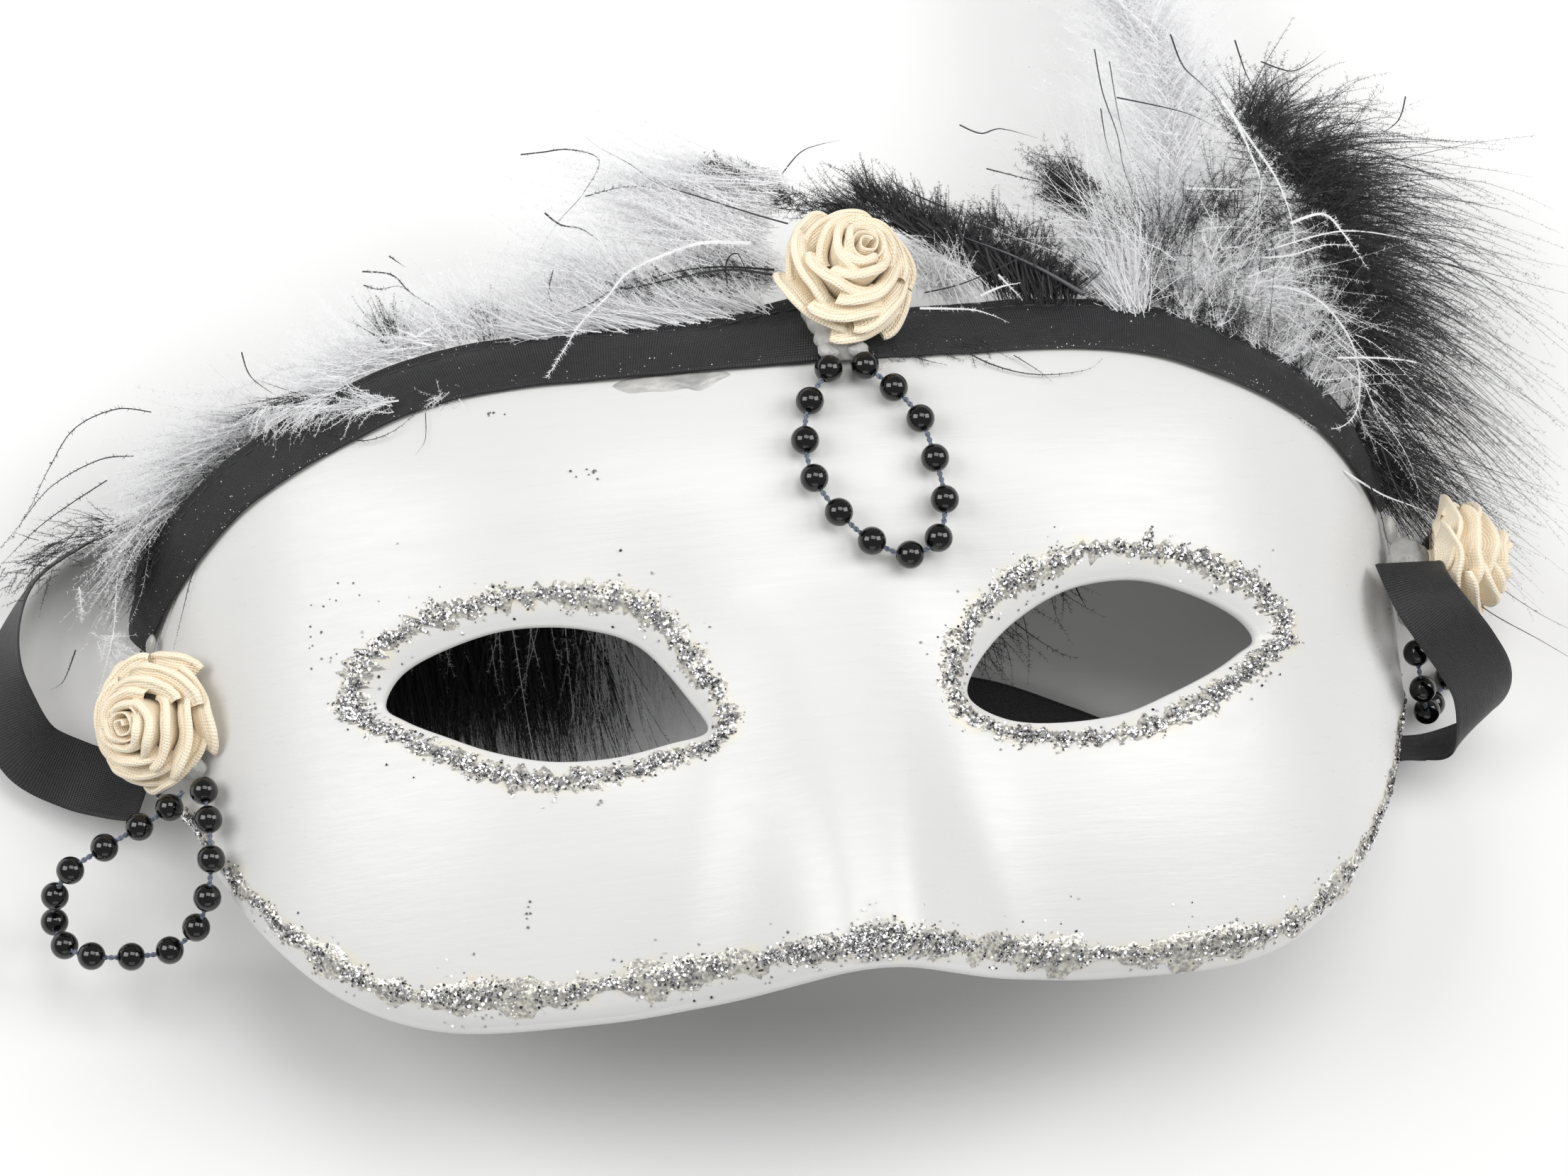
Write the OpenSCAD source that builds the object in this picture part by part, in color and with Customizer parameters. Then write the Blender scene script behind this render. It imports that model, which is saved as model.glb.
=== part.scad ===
// Venetian half mask lying face up on a table: +Z out of the face, +Y to the forehead,
// +X to the wearer's left. The origin is on the table, midway between the two temples.

/* [Shell] */
// Half of the width of the shell at its temples
half_w = 93; // [85:0.5:100]
// Height of the arched section above its base line
dome_h = 58; // [50:0.5:65]
// How far the base line of the section lies below the table
sink = 6; // [4:0.5:8]
// Squareness of the arched section, where 2 is a plain ellipse
squareness = 2.3; // [2:0.05:2.6]
// Wall thickness
wall = 1.8; // [1.2:0.1:2.4]
// How far the edges of the shell and of the eye openings are rolled in
lip = 1.4; // [0.8:0.1:1.8]

/* [Nose] */
// Height of the nose above the cheeks at its tip
nose_h = 15; // [10:0.5:18]
// Half width of the nose at its root
nose_w = 13; // [10:0.5:15]
// Depth of the hollow beside the nose at each eye
socket_h = 2; // [0:0.5:3]

/* [Ribbons] */
// Visible width of the satin trim along the forehead
trim_w = 9; // [7:0.5:10]
// Width of the satin ties
tie_w = 10; // [8:0.5:10]
// Thickness of the trim and of the ties with their hems
ribbon_t = 0.6; // [0.4:0.1:0.8]

/* [Beads and roses] */
// Diameter of one bead
bead_d = 4; // [3.6:0.1:4.2]
// Diameter of the twisted thread through the beads
thread_d = 0.8; // [0.6:0.1:1]
// Diameter of one folded ribbon rose
rose_d = 21; // [18:0.5:22]
// Height of one rose
rose_h = 9.5; // [8:0.5:10]

/* [Glitter] */
// Width of the glitter bands
glitter_w = 3.6; // [2.5:0.1:4]
// Height of the glitter bands
glitter_h = 0.7; // [0.4:0.1:1]

/* [Hidden] */

// Grid of the shell: points round each eye, of which the first ones follow the centre line
around = 56;
centre_n = 12;
rings = 12;
// Distances from an edge that the rolled lips take
lip_reach = 4.5;
// Gap that keeps what lies on the shell clear of it
clear = 0.2;
// Where the nose starts to rise, and how far it takes to do so
nose_top_y = 12;
nose_len = 50;
// The forehead bends back above one height and the cheeks below another
forehead_y = 22;
cheek_y = -15;
bend = 0.00018;

// Openings of the two eyes, cut by hand, as [distance from the centre plane, y], clockwise
// on the +X side from the lower corner by the nose
eye_plus = [
    [24, -10.8], [19, -7], [21, -1.8], [27, 3.9], [35.5, 7.8], [46, 8.7], [55, 6.4],
    [62, 3], [64.6, -0.4], [61.7, -2.7], [57, -5.5], [50, -8.6], [41.5, -11.4], [32, -12]
];
eye_minus = [
    [23.7, -10.4], [18.3, -8.8], [20.4, -3.3], [26, 4.4], [34, 7.6], [44.5, 8.6], [53.5, 7],
    [60.2, 4.2], [63, 0], [60.5, -2.7], [55.5, -5.7], [48.5, -9.2], [40.5, -11.5], [32, -11.8]
];
// Outer edge of one half as [angle round the section, y], clockwise from the top centre
rim = [
    [0, 49], [10, 49.7], [22, 50], [32.5, 48.3], [42.5, 44.2], [51.5, 40], [60, 35.5],
    [70, 28.5], [79, 22], [86, 15], [86.5, 2], [82, -6], [72.5, -11.5], [66.5, -19.5],
    [58, -29.5], [46.5, -40], [34.5, -46], [20, -47.2], [12, -46.4], [6, -45.4],
    [2.5, -44.8], [0, -44.6]
];

// Places and axes of the roses: middle of the base, then the direction it faces
rose_center_at = [[7.5, 52.5, 47.5], [0.2, 0.19, 0.96]];
rose_left_at = [[-90.6, 3.8, 18.4], [-0.62, -0.1, 0.78]];
rose_right_at = [[95.4, 11.5, 17.5], [0.98, -0.1, 0.17]];

// Threads of the three bead loops, each from glue to glue, with a bead at every inner point
loop_center = [
    [4.4, 43, 50.2], [3.8, 40.4, 51.2], [0.5, 35.8, 52.3], [-1, 30, 53.7], [-0.4, 24.4, 54.5],
    [2.5, 19.3, 54.7], [6.7, 14.9, 54.6], [11.9, 12.6, 54.3], [16.2, 14.7, 54],
    [17.7, 20.1, 53.9], [17, 26.1, 53.7], [15.7, 32, 53], [12.6, 36.9, 52],
    [9, 40.5, 51.2], [8.4, 43, 50.2]
];
loop_left = [
    [-86.9, -5.6, 23.6], [-86.7, -7.8, 25], [-86.5, -12.1, 26], [-86.6, -17.7, 26],
    [-87.5, -22.8, 24], [-89.2, -26.4, 20.3], [-93, -28.9, 17.3], [-98.4, -29.2, 16.2],
    [-103.9, -28.5, 15.2], [-107.4, -26.2, 11.6], [-108.4, -22.3, 8.3], [-108.2, -19.2, 12.6],
    [-105.9, -16.3, 16.6], [-100.9, -13.6, 17.4], [-95.8, -11.2, 18.3], [-91.4, -9, 19.6],
    [-89.4, -7, 20.6]
];
loop_right = [
    [92.7, 2.4, 15], [92.6, -0.6, 13.8], [93.2, -5.8, 12.4], [94.6, -8.4, 7.8], [96.6, -6.8, 3.6],
    [99.8, -2.8, 2.5], [102.2, 1.8, 2.5], [103.2, 7.1, 2.5], [103, 12.5, 2.5], [100.4, 17, 2.5],
    [96.6, 13.4, 3.4], [96, 8.6, 5.8], [94.4, 4, 12.4]
];

// Routes of the two ties as [point, direction of the ribbon's width]
tie_left_route = [
    [[-94, -5, 11.4], [0.2, 1, -0.3]], [[-98.5, -3.5, 8.2], [0.2, 1, -0.2]],
    [[-104, -1, 6.2], [0.3, 1, 0.1]], [[-109.5, 2.5, 6.2], [0.9, 0.8, 0.4]],
    [[-112, 8, 6.6], [1, 0.1, 0.7]], [[-112.5, 14.5, 6.6], [0.6, 0, 1]],
    [[-111, 21, 6.4], [0.3, 0, 1]], [[-107, 27.5, 6.2], [0, -0.2, 1]],
    [[-100, 32, 6], [0, -0.2, 1]], [[-91, 35, 5.8], [0, 0, 1]],
    [[-80, 37, 5.8], [0, 0, 1]], [[-66, 39, 5.8], [0, 0, 1]], [[-50, 41, 5.8], [0, 0, 1]],
    [[-32, 42, 5.8], [0, 0, 1]], [[-14, 42, 5.8], [0, 0, 1]], [[4, 42, 5.8], [0, 0, 1]],
    [[20, 41.5, 5.8], [0, 0, 1]], [[30, 38, 5.8], [0, 0, 1]], [[32.5, 33, 5.8], [0, 0, 1]],
    [[28, 29, 5.8], [0, 0, 1]], [[16, 28, 5.8], [0, 0, 1]], [[4, 28, 5.8], [0, 0, 1]]
];
tie_right_route = [
    [[90.3, 11, 24.4], [1, 0, 0]], [[90.2, 8.6, 27.2], [1, 0, 0]],
    [[91.2, 4.8, 28.8], [1, 0.05, 0]], [[93.8, 0.6, 28.2], [1, 0.1, -0.1]],
    [[97, -3.2, 25.4], [1, 0.2, -0.1]], [[100, -6.8, 20.6], [0.95, 0.3, -0.1]],
    [[101, -10.2, 14.6], [0.85, 0.5, -0.1]], [[99, -12.8, 9.2], [0.65, 0.65, -0.4]],
    [[94, -13.4, 6], [0.3, 0.5, -0.8]], [[88, -13.4, 6.4], [0, 0.5, -0.85]],
    [[80, -14.5, 4.6], [0, 0.75, -0.65]], [[68, -16, 2.2], [-0.1, 1, -0.2]],
    [[53, -12.5, 1], [-0.35, 1, 0]], [[41, -7, 1], [-0.5, 1, 0]], [[29, -2, 1], [-0.3, 1, 0]],
    [[17, -0.5, 1], [0.1, 1, 0]], [[5, -3.5, 1], [-0.5, 1, 0]], [[-4, -9.5, 1], [-1, 0.6, 0]],
    [[-7, -18, 1], [-1, -0.2, 0]], [[-1.5, -25.5, 1], [-0.7, -1, 0]], [[9, -29, 1], [0, -1, 0]],
    [[21, -29, 1], [0, -1, 0]], [[33, -28.5, 1], [0, -1, 0]]
];

// ---- Curves ----

// Point at parameter f on a Catmull-Rom curve through the points p
function spline(p, f, closed = false) =
    let(n = len(p), j = closed ? floor(f) : min(floor(f), n - 2), u = f - j,
        a = closed ? p[(j - 1 + n) % n] : p[max(j - 1, 0)], b = p[j % n],
        c = p[(j + 1) % n], d = closed ? p[(j + 2) % n] : p[min(j + 2, n - 1)])
    b + u * (c - a) / 2 + u * u * (a - 2.5 * b + 2 * c - d / 2)
        + u * u * u * (1.5 * b - 1.5 * c + (d - a) / 2);

function unit(v) = v / norm(v);
function mix(a, b, w) = a * (1 - w) + b * w;

// ---- Shape of the face ----

// Distance from the centre plane at the angle t round the section, and its inverse
function across(t) = half_w * sign(t) * pow(abs(sin(t)), 2 / squareness);
function angle_at(x) = asin(pow(x / half_w, squareness / 2));

function nose_rise(y) = pow(max(0, (nose_top_y - y) / nose_len), 1.2);
function nose(x, y) =
    nose_h * nose_rise(y) * exp(-pow(abs(x) / (nose_w * (0.8 + 0.45 * nose_rise(y))), 2.4));
function socket(x, y) = socket_h * exp(-pow((abs(x) - 24) / 10, 2) - pow((y - 2) / 14, 2));
function bend_back(y) = bend * (pow(max(0, y - forehead_y), 2) + 0.5 * pow(max(0, cheek_y - y), 2));

// Middle of the outer surface at [angle, y], before the edges are rolled in
function face(t, y) =
    let(x = across(t))
    [x, y, dome_h * pow(cos(t), 2 / squareness) * (1 - bend_back(y)) + nose(x, y) - socket(x, y) - sink];
function face_normal(t, y) =
    unit(cross(face(t + 1, y) - face(t - 1, y), face(t, y + 0.5) - face(t, y - 0.5)));
// The same surface moved along its normal, and never below the table
function skin(t, y, lift) =
    let(p = face(t, y) + lift * face_normal(t, y)) [p[0], p[1], max(0, p[2])];

// ---- Rays from an eye opening to the outer edge ----

sides = [1, -1];
eye_edge = [for (eye = [eye_plus, eye_minus]) [for (i = [0:around - 1])
    let(p = spline(eye, i * len(eye) / around, true)) [angle_at(p[0]), p[1]]]];
outer_edge = [for (i = [0:around - 1])
    i < centre_n
        ? [0, mix(rim[len(rim) - 1][1], rim[0][1], i / centre_n)]
        : spline(rim, (i - centre_n) * (len(rim) - 1) / (around - centre_n))];
ray_len = [for (s = [0, 1]) [for (i = [0:around - 1])
    norm(face(outer_edge[i][0], outer_edge[i][1]) - face(eye_edge[s][i][0], eye_edge[s][i][1]))]];

function on_edge(i) = i == 0 || i >= centre_n;
function rolled(d) = lip * pow(max(0, 1 - d / lip_reach), 2);
// Point on ray i of side s, d millimetres out from the eye opening
function ray_point(s, i, d, lift) =
    let(w = d / ray_len[s][i], q = mix(eye_edge[s][i], outer_edge[i], w),
        dip = rolled(max(0, d)) + (on_edge(i) ? rolled(max(0, ray_len[s][i] - d)) : 0))
    skin(sides[s] * q[0], q[1], lift - dip);
// Point on the same ray, d millimetres in from the outer edge
function rim_point(s, i, d, lift) = ray_point(s, i % around, ray_len[s][i % around] - d, lift);

function ring_distance(s, i, k) =
    let(l = ray_len[s][i], a = min(lip_reach, l * 0.3))
    k < 4 ? [0, 0.25, 0.6, 1][k] * a
    : k <= rings - 3 ? mix(a, l - a, (k - 3) / (rings - 6))
    : l - [0.55, 0.2, 0][k - rings + 2] * a;

// ---- Solids swept through rings of points ----

module loft(sections, closed = false) {
    n = len(sections);
    m = len(sections[0]);
    walls = [for (j = [0:n - (closed ? 1 : 2)], i = [0:m - 1])
        let(next = (i + 1) % m, row = ((j + 1) % n) * m,
            a = j * m + i, b = j * m + next, c = row + next, d = row + i)
        each [[a, b, c], [a, c, d]]];
    last = (n - 1) * m;
    ends = closed ? [] : [for (i = [1:m - 2]) each [[0, i + 1, i], [last, last + i, last + i + 1]]];
    polyhedron([for (s = sections) each s], concat(walls, ends));
}

// Round cord along a spline through the points p
module cord(p, d, steps, sides_n = 8) {
    n = (len(p) - 1) * steps;
    c = [for (j = [0:n]) spline(p, j / steps)];
    loft([for (j = [0:n])
        let(dir = unit(c[min(j + 1, n)] - c[max(j - 1, 0)]),
            side = unit(cross(dir, abs(dir[2]) > 0.9 ? [1, 0, 0] : [0, 0, 1])), up = cross(side, dir))
        [for (i = [0:sides_n - 1])
            let(a = i * 360 / sides_n) c[j] + d / 2 * (cos(a) * side + sin(a) * up)]]);
}

// Flat ribbon along a route of [point, width direction]
module ribbon(route, w, t) {
    p = [for (r = route) r[0]];
    n = len(p);
    loft([for (j = [0:n - 1])
        let(dir = unit(p[min(j + 1, n - 1)] - p[max(j - 1, 0)]),
            side = unit(route[j][1] - dir * (route[j][1] * dir)), up = cross(side, dir))
        [for (a = [0:45:315]) p[j] + w / 2 * pow(abs(cos(a)), 0.5) * sign(cos(a)) * side
            + t / 2 * sin(a) * up]]);
}

// Soft fan of barbs between a row of roots and a row of tips, thickest near its middle
module fan(roots, tips, thick, arch) {
    stations = [0, 0.25, 0.55, 0.85, 1];
    half_t = [0.35, 0.9, 1, 0.6, 0.25];
    function side_point(j, k, up) =
        mix(roots[j], tips[j], stations[k])
            + [0, 0, arch * sin(180 * stations[k]) + up * half_t[k] * thick / 2];
    loft([for (j = [0:len(roots) - 1])
        concat([for (k = [0:4]) side_point(j, k, 1)], [for (k = [4:-1:0]) side_point(j, k, -1)])]);
}

// Turns +Z to the direction dir and moves the origin to at
module facing(at, dir) {
    translate(at)
        rotate([0, acos(dir[2] / norm(dir)), atan2(dir[1], dir[0])])
            children();
}

// ---- The mask ----

module mask_shell() {
    per_side = 2 * (rings + 1) * around;
    points = [for (s = [0, 1], l = [0, 1], k = [0:rings], i = [0:around - 1])
        ray_point(s, i, ring_distance(s, i, k), -l * wall)];
    // The two halves share the points of the centre line
    function id(s, l, k, i) =
        let(j = i % around, t = k == rings && j <= centre_n ? 0 : s)
        t * per_side + (l * (rings + 1) + k) * around + j;
    function quad(q, turn) =
        turn ? [[q[0], q[2], q[1]], [q[0], q[3], q[2]]] : [[q[0], q[1], q[2]], [q[0], q[2], q[3]]];
    function cell(s, l, k, i) = [id(s, l, k, i), id(s, l, k + 1, i), id(s, l, k + 1, i + 1), id(s, l, k, i + 1)];
    function edge(s, k, i, j) = [id(s, 0, k, i), id(s, 0, k, j), id(s, 1, k, j), id(s, 1, k, i)];
    faces = [for (s = [0, 1], i = [0:around - 1]) each concat(
        [for (k = [0:rings - 1], l = [0, 1]) each quad(cell(s, l, k, i), s != l)],
        quad(edge(s, 0, i, i + 1), s == 1),
        i < centre_n ? [] : quad(edge(s, rings, i + 1, i), s == 1))];
    color("white") polyhedron(points, faces);
}

// Section of a glitter band whose inner edge is d millimetres from the edge that it follows
function glitter_section(d) = [
    [d, clear], [d + glitter_w * 0.2, clear + glitter_h], [d + glitter_w * 0.8, clear + glitter_h],
    [d + glitter_w, clear], [d + glitter_w / 2, clear]
];
module glitter_eye(s) {
    section = glitter_section(2.8);
    order = s == 0 ? [0:around - 1] : [around - 1:-1:0];
    color("silver")
        loft([for (i = order) [for (q = section) ray_point(s, i, q[0], q[1])]], true);
}
module glitter_left_eye() { glitter_eye(1); }
module glitter_right_eye() { glitter_eye(0); }
module glitter_lower_edge() {
    section = glitter_section(1.8);
    first = 34;
    color("silver")
        loft(concat([for (i = [first:around]) [for (q = section) rim_point(0, i, q[0], q[1])]],
                    [for (i = [around:-1:first]) [for (q = section) rim_point(1, i, q[0], q[1])]]));
}

// Satin trim over rays first to last; its upper edge stands just past the shell
module trim_ribbon(s, first, last) {
    section = [
        [trim_w * 0.35, 0.5 + ribbon_t], [-0.8, 0.35 + ribbon_t], [-0.8, 0.35],
        [trim_w * 0.35, 0.5], [trim_w * 0.7, 0.45], [trim_w - 0.8, 0.4],
        [trim_w - 0.8, 0.4 + ribbon_t], [trim_w * 0.7, 0.45 + ribbon_t]
    ];
    order = s == 0 ? [first:last] : [last:-1:first];
    color("black") loft([for (i = order) [for (q = section) rim_point(s, i, q[0], q[1])]]);
}
module trim_ribbon_left() { trim_ribbon(1, 12, 30); }
module trim_ribbon_right() { trim_ribbon(0, 13, 28); }

// Folded rose as one turned body: a rosette of stepped petals round a bud
module rose() {
    color("cornsilk")
        rotate_extrude($fn = 64)
            polygon([
                [0, 0], [rose_d * 0.22, 0], [rose_d * 0.4, rose_h * 0.28], [rose_d * 0.5, rose_h * 0.52],
                [rose_d * 0.44, rose_h * 0.66], [rose_d * 0.36, rose_h * 0.84],
                [rose_d * 0.24, rose_h * 0.95], [rose_d * 0.12, rose_h], [0, rose_h * 0.96]
            ]);
}
module rose_center() { facing(rose_center_at[0], rose_center_at[1]) rose(); }
module rose_left() { facing(rose_left_at[0], rose_left_at[1]) rose(); }
module rose_right() { facing(rose_right_at[0], rose_right_at[1]) rose(); }

// Hot glue behind a rose: a short pillar from the rose to what it is stuck on, and the dab
// that holds the ends of the bead loop
module glue(at, r, h, dab, dab_d) {
    color("ivory") {
        facing(at[0] - (h - 0.3) * unit(at[1]), at[1])
            cylinder(h = h, r1 = r * 1.15, r2 = r, $fn = 40);
        translate(dab) sphere(d = dab_d, $fn = 40);
    }
}
module glue_center() { glue(rose_center_at, 4.2, 4.4, [6.4, 46.4, 48], 5.4); }
module glue_left() { glue(rose_left_at, 4, 5, [-87.9, -2.6, 20.6], 5); }
module glue_right() { glue(rose_right_at, 4, 7.5, [90.9, 5.4, 15], 4.6); }

module beads(loop) {
    color("black")
        for (i = [1:len(loop) - 2])
            translate(loop[i]) sphere(d = bead_d, $fn = 48);
}
module beads_center() { beads(loop_center); }
module beads_left() { beads(loop_left); }
module beads_right() { beads(loop_right); }
module thread_center() { color("slategray") cord(loop_center, thread_d, 2); }
module thread_left() { color("slategray") cord(loop_left, thread_d, 2); }
module thread_right() { color("slategray") cord(loop_right, thread_d, 2); }

module tie_left() { color("black") ribbon(tie_left_route, tie_w, ribbon_t); }
module tie_right() { color("black") ribbon(tie_right_route, tie_w, ribbon_t); }

// ---- Feathers sewn along the upper edge ----

module feathers_left_side() {
    color("dimgray") fan(
        [[-90.5, 31, 15], [-85, 36.5, 20.5], [-78, 41, 26], [-70.5, 45, 30.5]],
        [[-106, 36, 16], [-98, 46, 18], [-88, 54, 20], [-78, 60, 22]], 5, 1);
}
module feathers_left_top() {
    color("gray") fan(
        [[-68.5, 45.8, 31.5], [-60, 49, 34.5], [-50, 51.5, 37], [-38, 52.5, 39.5]],
        [[-72, 62, 24], [-60, 69, 26], [-48, 73, 28], [-37.5, 76, 30]], 5, 1);
}
module feathers_white_center() {
    color("white") fan(
        [[-36.5, 52.6, 39.8], [-26, 52.6, 41.5], [-15, 52.3, 42.5], [-6, 52, 42.8]],
        [[-35.5, 78, 30], [-24, 88, 32], [-8, 91, 34], [-2, 84, 35]], 5, 1);
}
module feather_black_band() {
    color("black") fan(
        [[21, 52.3, 42], [28, 52.6, 41], [35, 52.8, 39.8], [41.5, 52.8, 38.5]],
        [[24, 76, 36], [31, 72, 35], [37, 68, 34.5], [41, 65, 34]], 4, 0.5);
}
module feathers_mixed_right() {
    color("gainsboro") fan(
        [[46, 52.6, 37.5], [52, 51.2, 36], [58, 49.5, 34.2], [63, 47.8, 32.8]],
        [[45.5, 88, 34], [57, 92, 33], [68, 88, 31], [73.5, 78, 29]], 5, 2);
}
module plume_white_right() {
    color("white") fan(
        [[42, 56, 24], [49, 57, 24], [56, 57, 23.5], [62, 56, 22]],
        [[42, 104, 16], [52, 117, 17], [63, 118, 17], [70, 104, 15]], 5, 1);
}
module feathers_black_fan() {
    color("black") fan(
        [[65, 47, 31.5], [71, 44.5, 29.5], [76.5, 41.5, 26.5], [82, 38, 22.5], [86, 35, 18]],
        [[77, 86, 26], [92, 84, 24], [106, 73, 20], [115, 58, 16], [118, 42, 13]], 6, 2);
}
module feathers_right_side() {
    color("dimgray") fan(
        [[88, 33, 15], [90, 30.5, 11.5], [91.5, 28, 8]],
        [[119, 38, 9], [119, 29, 8], [117, 20, 6]], 3, 1);
}
// Feathers folded behind the shell, which show through the eye openings
module feathers_inside_left() {
    color("black") fan(
        [[-62, 24, 3.2], [-50, 24.5, 3.4], [-38, 25, 3.4], [-25, 25, 3.2]],
        [[-60, -6, 3], [-48, -9, 3.2], [-36, -9, 3.2], [-26, -6, 3]], 5, 0.3);
}
module feathers_inside_middle() {
    color("gray") fan(
        [[-23.5, 25, 3.2], [-16, 25, 3.2], [-8, 25, 3]],
        [[-24.5, -4, 3], [-17, -6, 3], [-10, -2, 2.8]], 4, 0.3);
}

mask_shell();
glitter_left_eye();
glitter_right_eye();
glitter_lower_edge();
trim_ribbon_left();
trim_ribbon_right();
rose_center();
rose_left();
rose_right();
glue_center();
glue_left();
glue_right();
thread_center();
thread_left();
thread_right();
beads_center();
beads_left();
beads_right();
tie_left();
tie_right();
feathers_left_side();
feathers_left_top();
feathers_white_center();
feather_black_band();
feathers_mixed_right();
plume_white_right();
feathers_black_fan();
feathers_right_side();
feathers_inside_left();
feathers_inside_middle();
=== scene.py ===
"""Venetian half mask lying face up: painted shell, glitter borders, satin trim and ties, ribbon
roses, three bead loops and a crest of black and white feathers. Lengths in the helpers are in
millimetres, in the frame of the CAD; every piece is turned to metres when its mesh is made."""

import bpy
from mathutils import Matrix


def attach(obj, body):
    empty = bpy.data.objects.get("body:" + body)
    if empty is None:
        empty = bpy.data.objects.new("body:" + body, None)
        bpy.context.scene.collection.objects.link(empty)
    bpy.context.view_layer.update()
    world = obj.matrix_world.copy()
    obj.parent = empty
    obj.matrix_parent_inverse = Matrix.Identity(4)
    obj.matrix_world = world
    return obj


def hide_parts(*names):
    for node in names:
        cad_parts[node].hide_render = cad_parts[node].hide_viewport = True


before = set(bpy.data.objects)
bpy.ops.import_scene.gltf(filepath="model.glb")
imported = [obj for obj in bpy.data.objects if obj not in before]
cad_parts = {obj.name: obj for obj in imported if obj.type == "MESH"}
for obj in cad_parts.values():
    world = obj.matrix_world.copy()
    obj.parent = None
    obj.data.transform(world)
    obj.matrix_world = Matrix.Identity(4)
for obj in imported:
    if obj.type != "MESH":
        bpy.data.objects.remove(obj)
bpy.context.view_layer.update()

import math

import bpy
import numpy as np
from mathutils import Matrix, Vector, noise
from mathutils.kdtree import KDTree

MM = 0.001


# ---- Camera, at the photograph's viewing angle ----

def unit(v):
    v = np.asarray(v, float)
    return v / np.maximum(np.linalg.norm(v, axis=-1, keepdims=True), 1e-9)


CAMERA_TARGET, CAMERA_DISTANCE = np.array([-2.4, 13.6, 30.0]), 900
TO_CAMERA, PICTURE_UP = [-0.154, -0.172, 0.973], [0.078, 0.98, 0.185]
LENS, SENSOR = 145.2, 36


def make_camera():
    back = unit(TO_CAMERA)
    right = unit(np.cross(PICTURE_UP, back))
    up = np.cross(back, right)
    data = bpy.data.cameras.new("camera")
    data.sensor_width = SENSOR
    data.lens = LENS
    data.clip_start, data.clip_end = 0.05, 20
    cam = bpy.data.objects.new("camera", data)
    bpy.context.scene.collection.objects.link(cam)
    rows = np.column_stack([right, up, back])
    at = Vector((CAMERA_TARGET + CAMERA_DISTANCE * back) * MM)
    cam.matrix_world = Matrix.Translation(at) @ Matrix(rows.tolist()).to_4x4()
    bpy.context.scene.camera = cam


make_camera()


# ---- Curves and meshes ----

def spline(points, f, closed=False):
    """Points at the parameters f on a Catmull-Rom curve."""
    p = np.asarray(points, float)
    f = np.atleast_1d(np.asarray(f, float))
    n = len(p)
    j = np.floor(f).astype(int)
    if not closed:
        j = np.clip(j, 0, n - 2)
    u = (f - j)[:, None]
    if closed:
        a, b, c, d = p[(j - 1) % n], p[j % n], p[(j + 1) % n], p[(j + 2) % n]
    else:
        a, b, c, d = p[np.maximum(j - 1, 0)], p[j], p[j + 1], p[np.minimum(j + 2, n - 1)]
    return (b + u * (c - a) / 2 + u ** 2 * (a - 2.5 * b + 2 * c - d / 2)
            + u ** 3 * (1.5 * b - 1.5 * c + (d - a) / 2))


def distances(p):
    """How far along the line each of its points is."""
    return np.concatenate([[0], np.cumsum(np.linalg.norm(np.diff(p, axis=0), axis=1))])


def even_steps(points, step):
    """Points about step apart along the Catmull-Rom curve through the points."""
    fine = spline(points, np.linspace(0, len(points) - 1, len(points) * 24))
    along = distances(fine)
    at = np.linspace(0, along[-1], max(2, int(round(along[-1] / step)) + 1))
    return np.stack([np.interp(at, along, fine[:, k]) for k in range(fine.shape[1])], axis=1)


def tangents(p):
    return unit(np.gradient(p, axis=0))


def mesh_piece(name, verts, faces, material, body="mask", slot=None, smooth=True, uv=None, stands_for=()):
    """A piece from points in millimetres and faces that all have as many corners."""
    verts, faces = np.asarray(verts, float).reshape(-1, 3) * MM, np.asarray(faces, np.int32)
    me = bpy.data.meshes.new(name)
    corners = faces.shape[1]
    me.vertices.add(len(verts))
    me.vertices.foreach_set("co", verts.ravel())
    me.loops.add(faces.size)
    me.loops.foreach_set("vertex_index", faces.ravel())
    me.polygons.add(len(faces))
    me.polygons.foreach_set("loop_start", np.arange(0, faces.size, corners))
    if smooth:
        me.polygons.foreach_set("use_smooth", np.ones(len(faces), bool))
    if uv is not None:
        layer = me.uv_layers.new(name="weave")
        layer.data.foreach_set("uv", np.asarray(uv, np.float32)[faces.ravel()].ravel())
    me.materials.append(material)
    me.update(calc_edges=True)
    me.validate()
    ob = bpy.data.objects.new(name, me)
    bpy.context.scene.collection.objects.link(ob)
    if body:
        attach(ob, body)
    if stands_for:
        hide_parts(*stands_for)
    return ob


def grid_faces(rows, cols, close_rows=False, close_cols=False):
    """Quads of a grid of rows by cols points."""
    i, j = np.meshgrid(np.arange(rows - (not close_rows)), np.arange(cols - (not close_cols)), indexing="ij")
    a, b = i * cols + j, i * cols + (j + 1) % cols
    c, d = ((i + 1) % rows) * cols + (j + 1) % cols, ((i + 1) % rows) * cols + j
    return np.stack([a, d, c, b], axis=-1).reshape(-1, 4)


def lid(row, around, flip=False):
    """Quads that close the row of a tube of around points."""
    k = np.arange(around // 2 - 1)[:, None]
    quads = row * around + np.hstack([k, k + 1, around - 2 - k, around - 1 - k])
    return quads[:, ::-1] if flip else quads


def weave_uv(along, across, around, shift):
    """The weave's UV of a flat tube, in millimetres; its underside is moved by shift."""
    across = across + shift * (np.sin(around) < 0)
    return np.stack(np.broadcast_arrays(along[:, None], across[None]), axis=-1).reshape(-1, 2)


def circles(a, b, count):
    """Unit circles of count points in the planes of the directions a and b."""
    q = np.linspace(0, 2 * math.pi, count + 1)[:-1]
    return np.cos(q)[None, :, None] * a[:, None] + np.sin(q)[None, :, None] * b[:, None]


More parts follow.
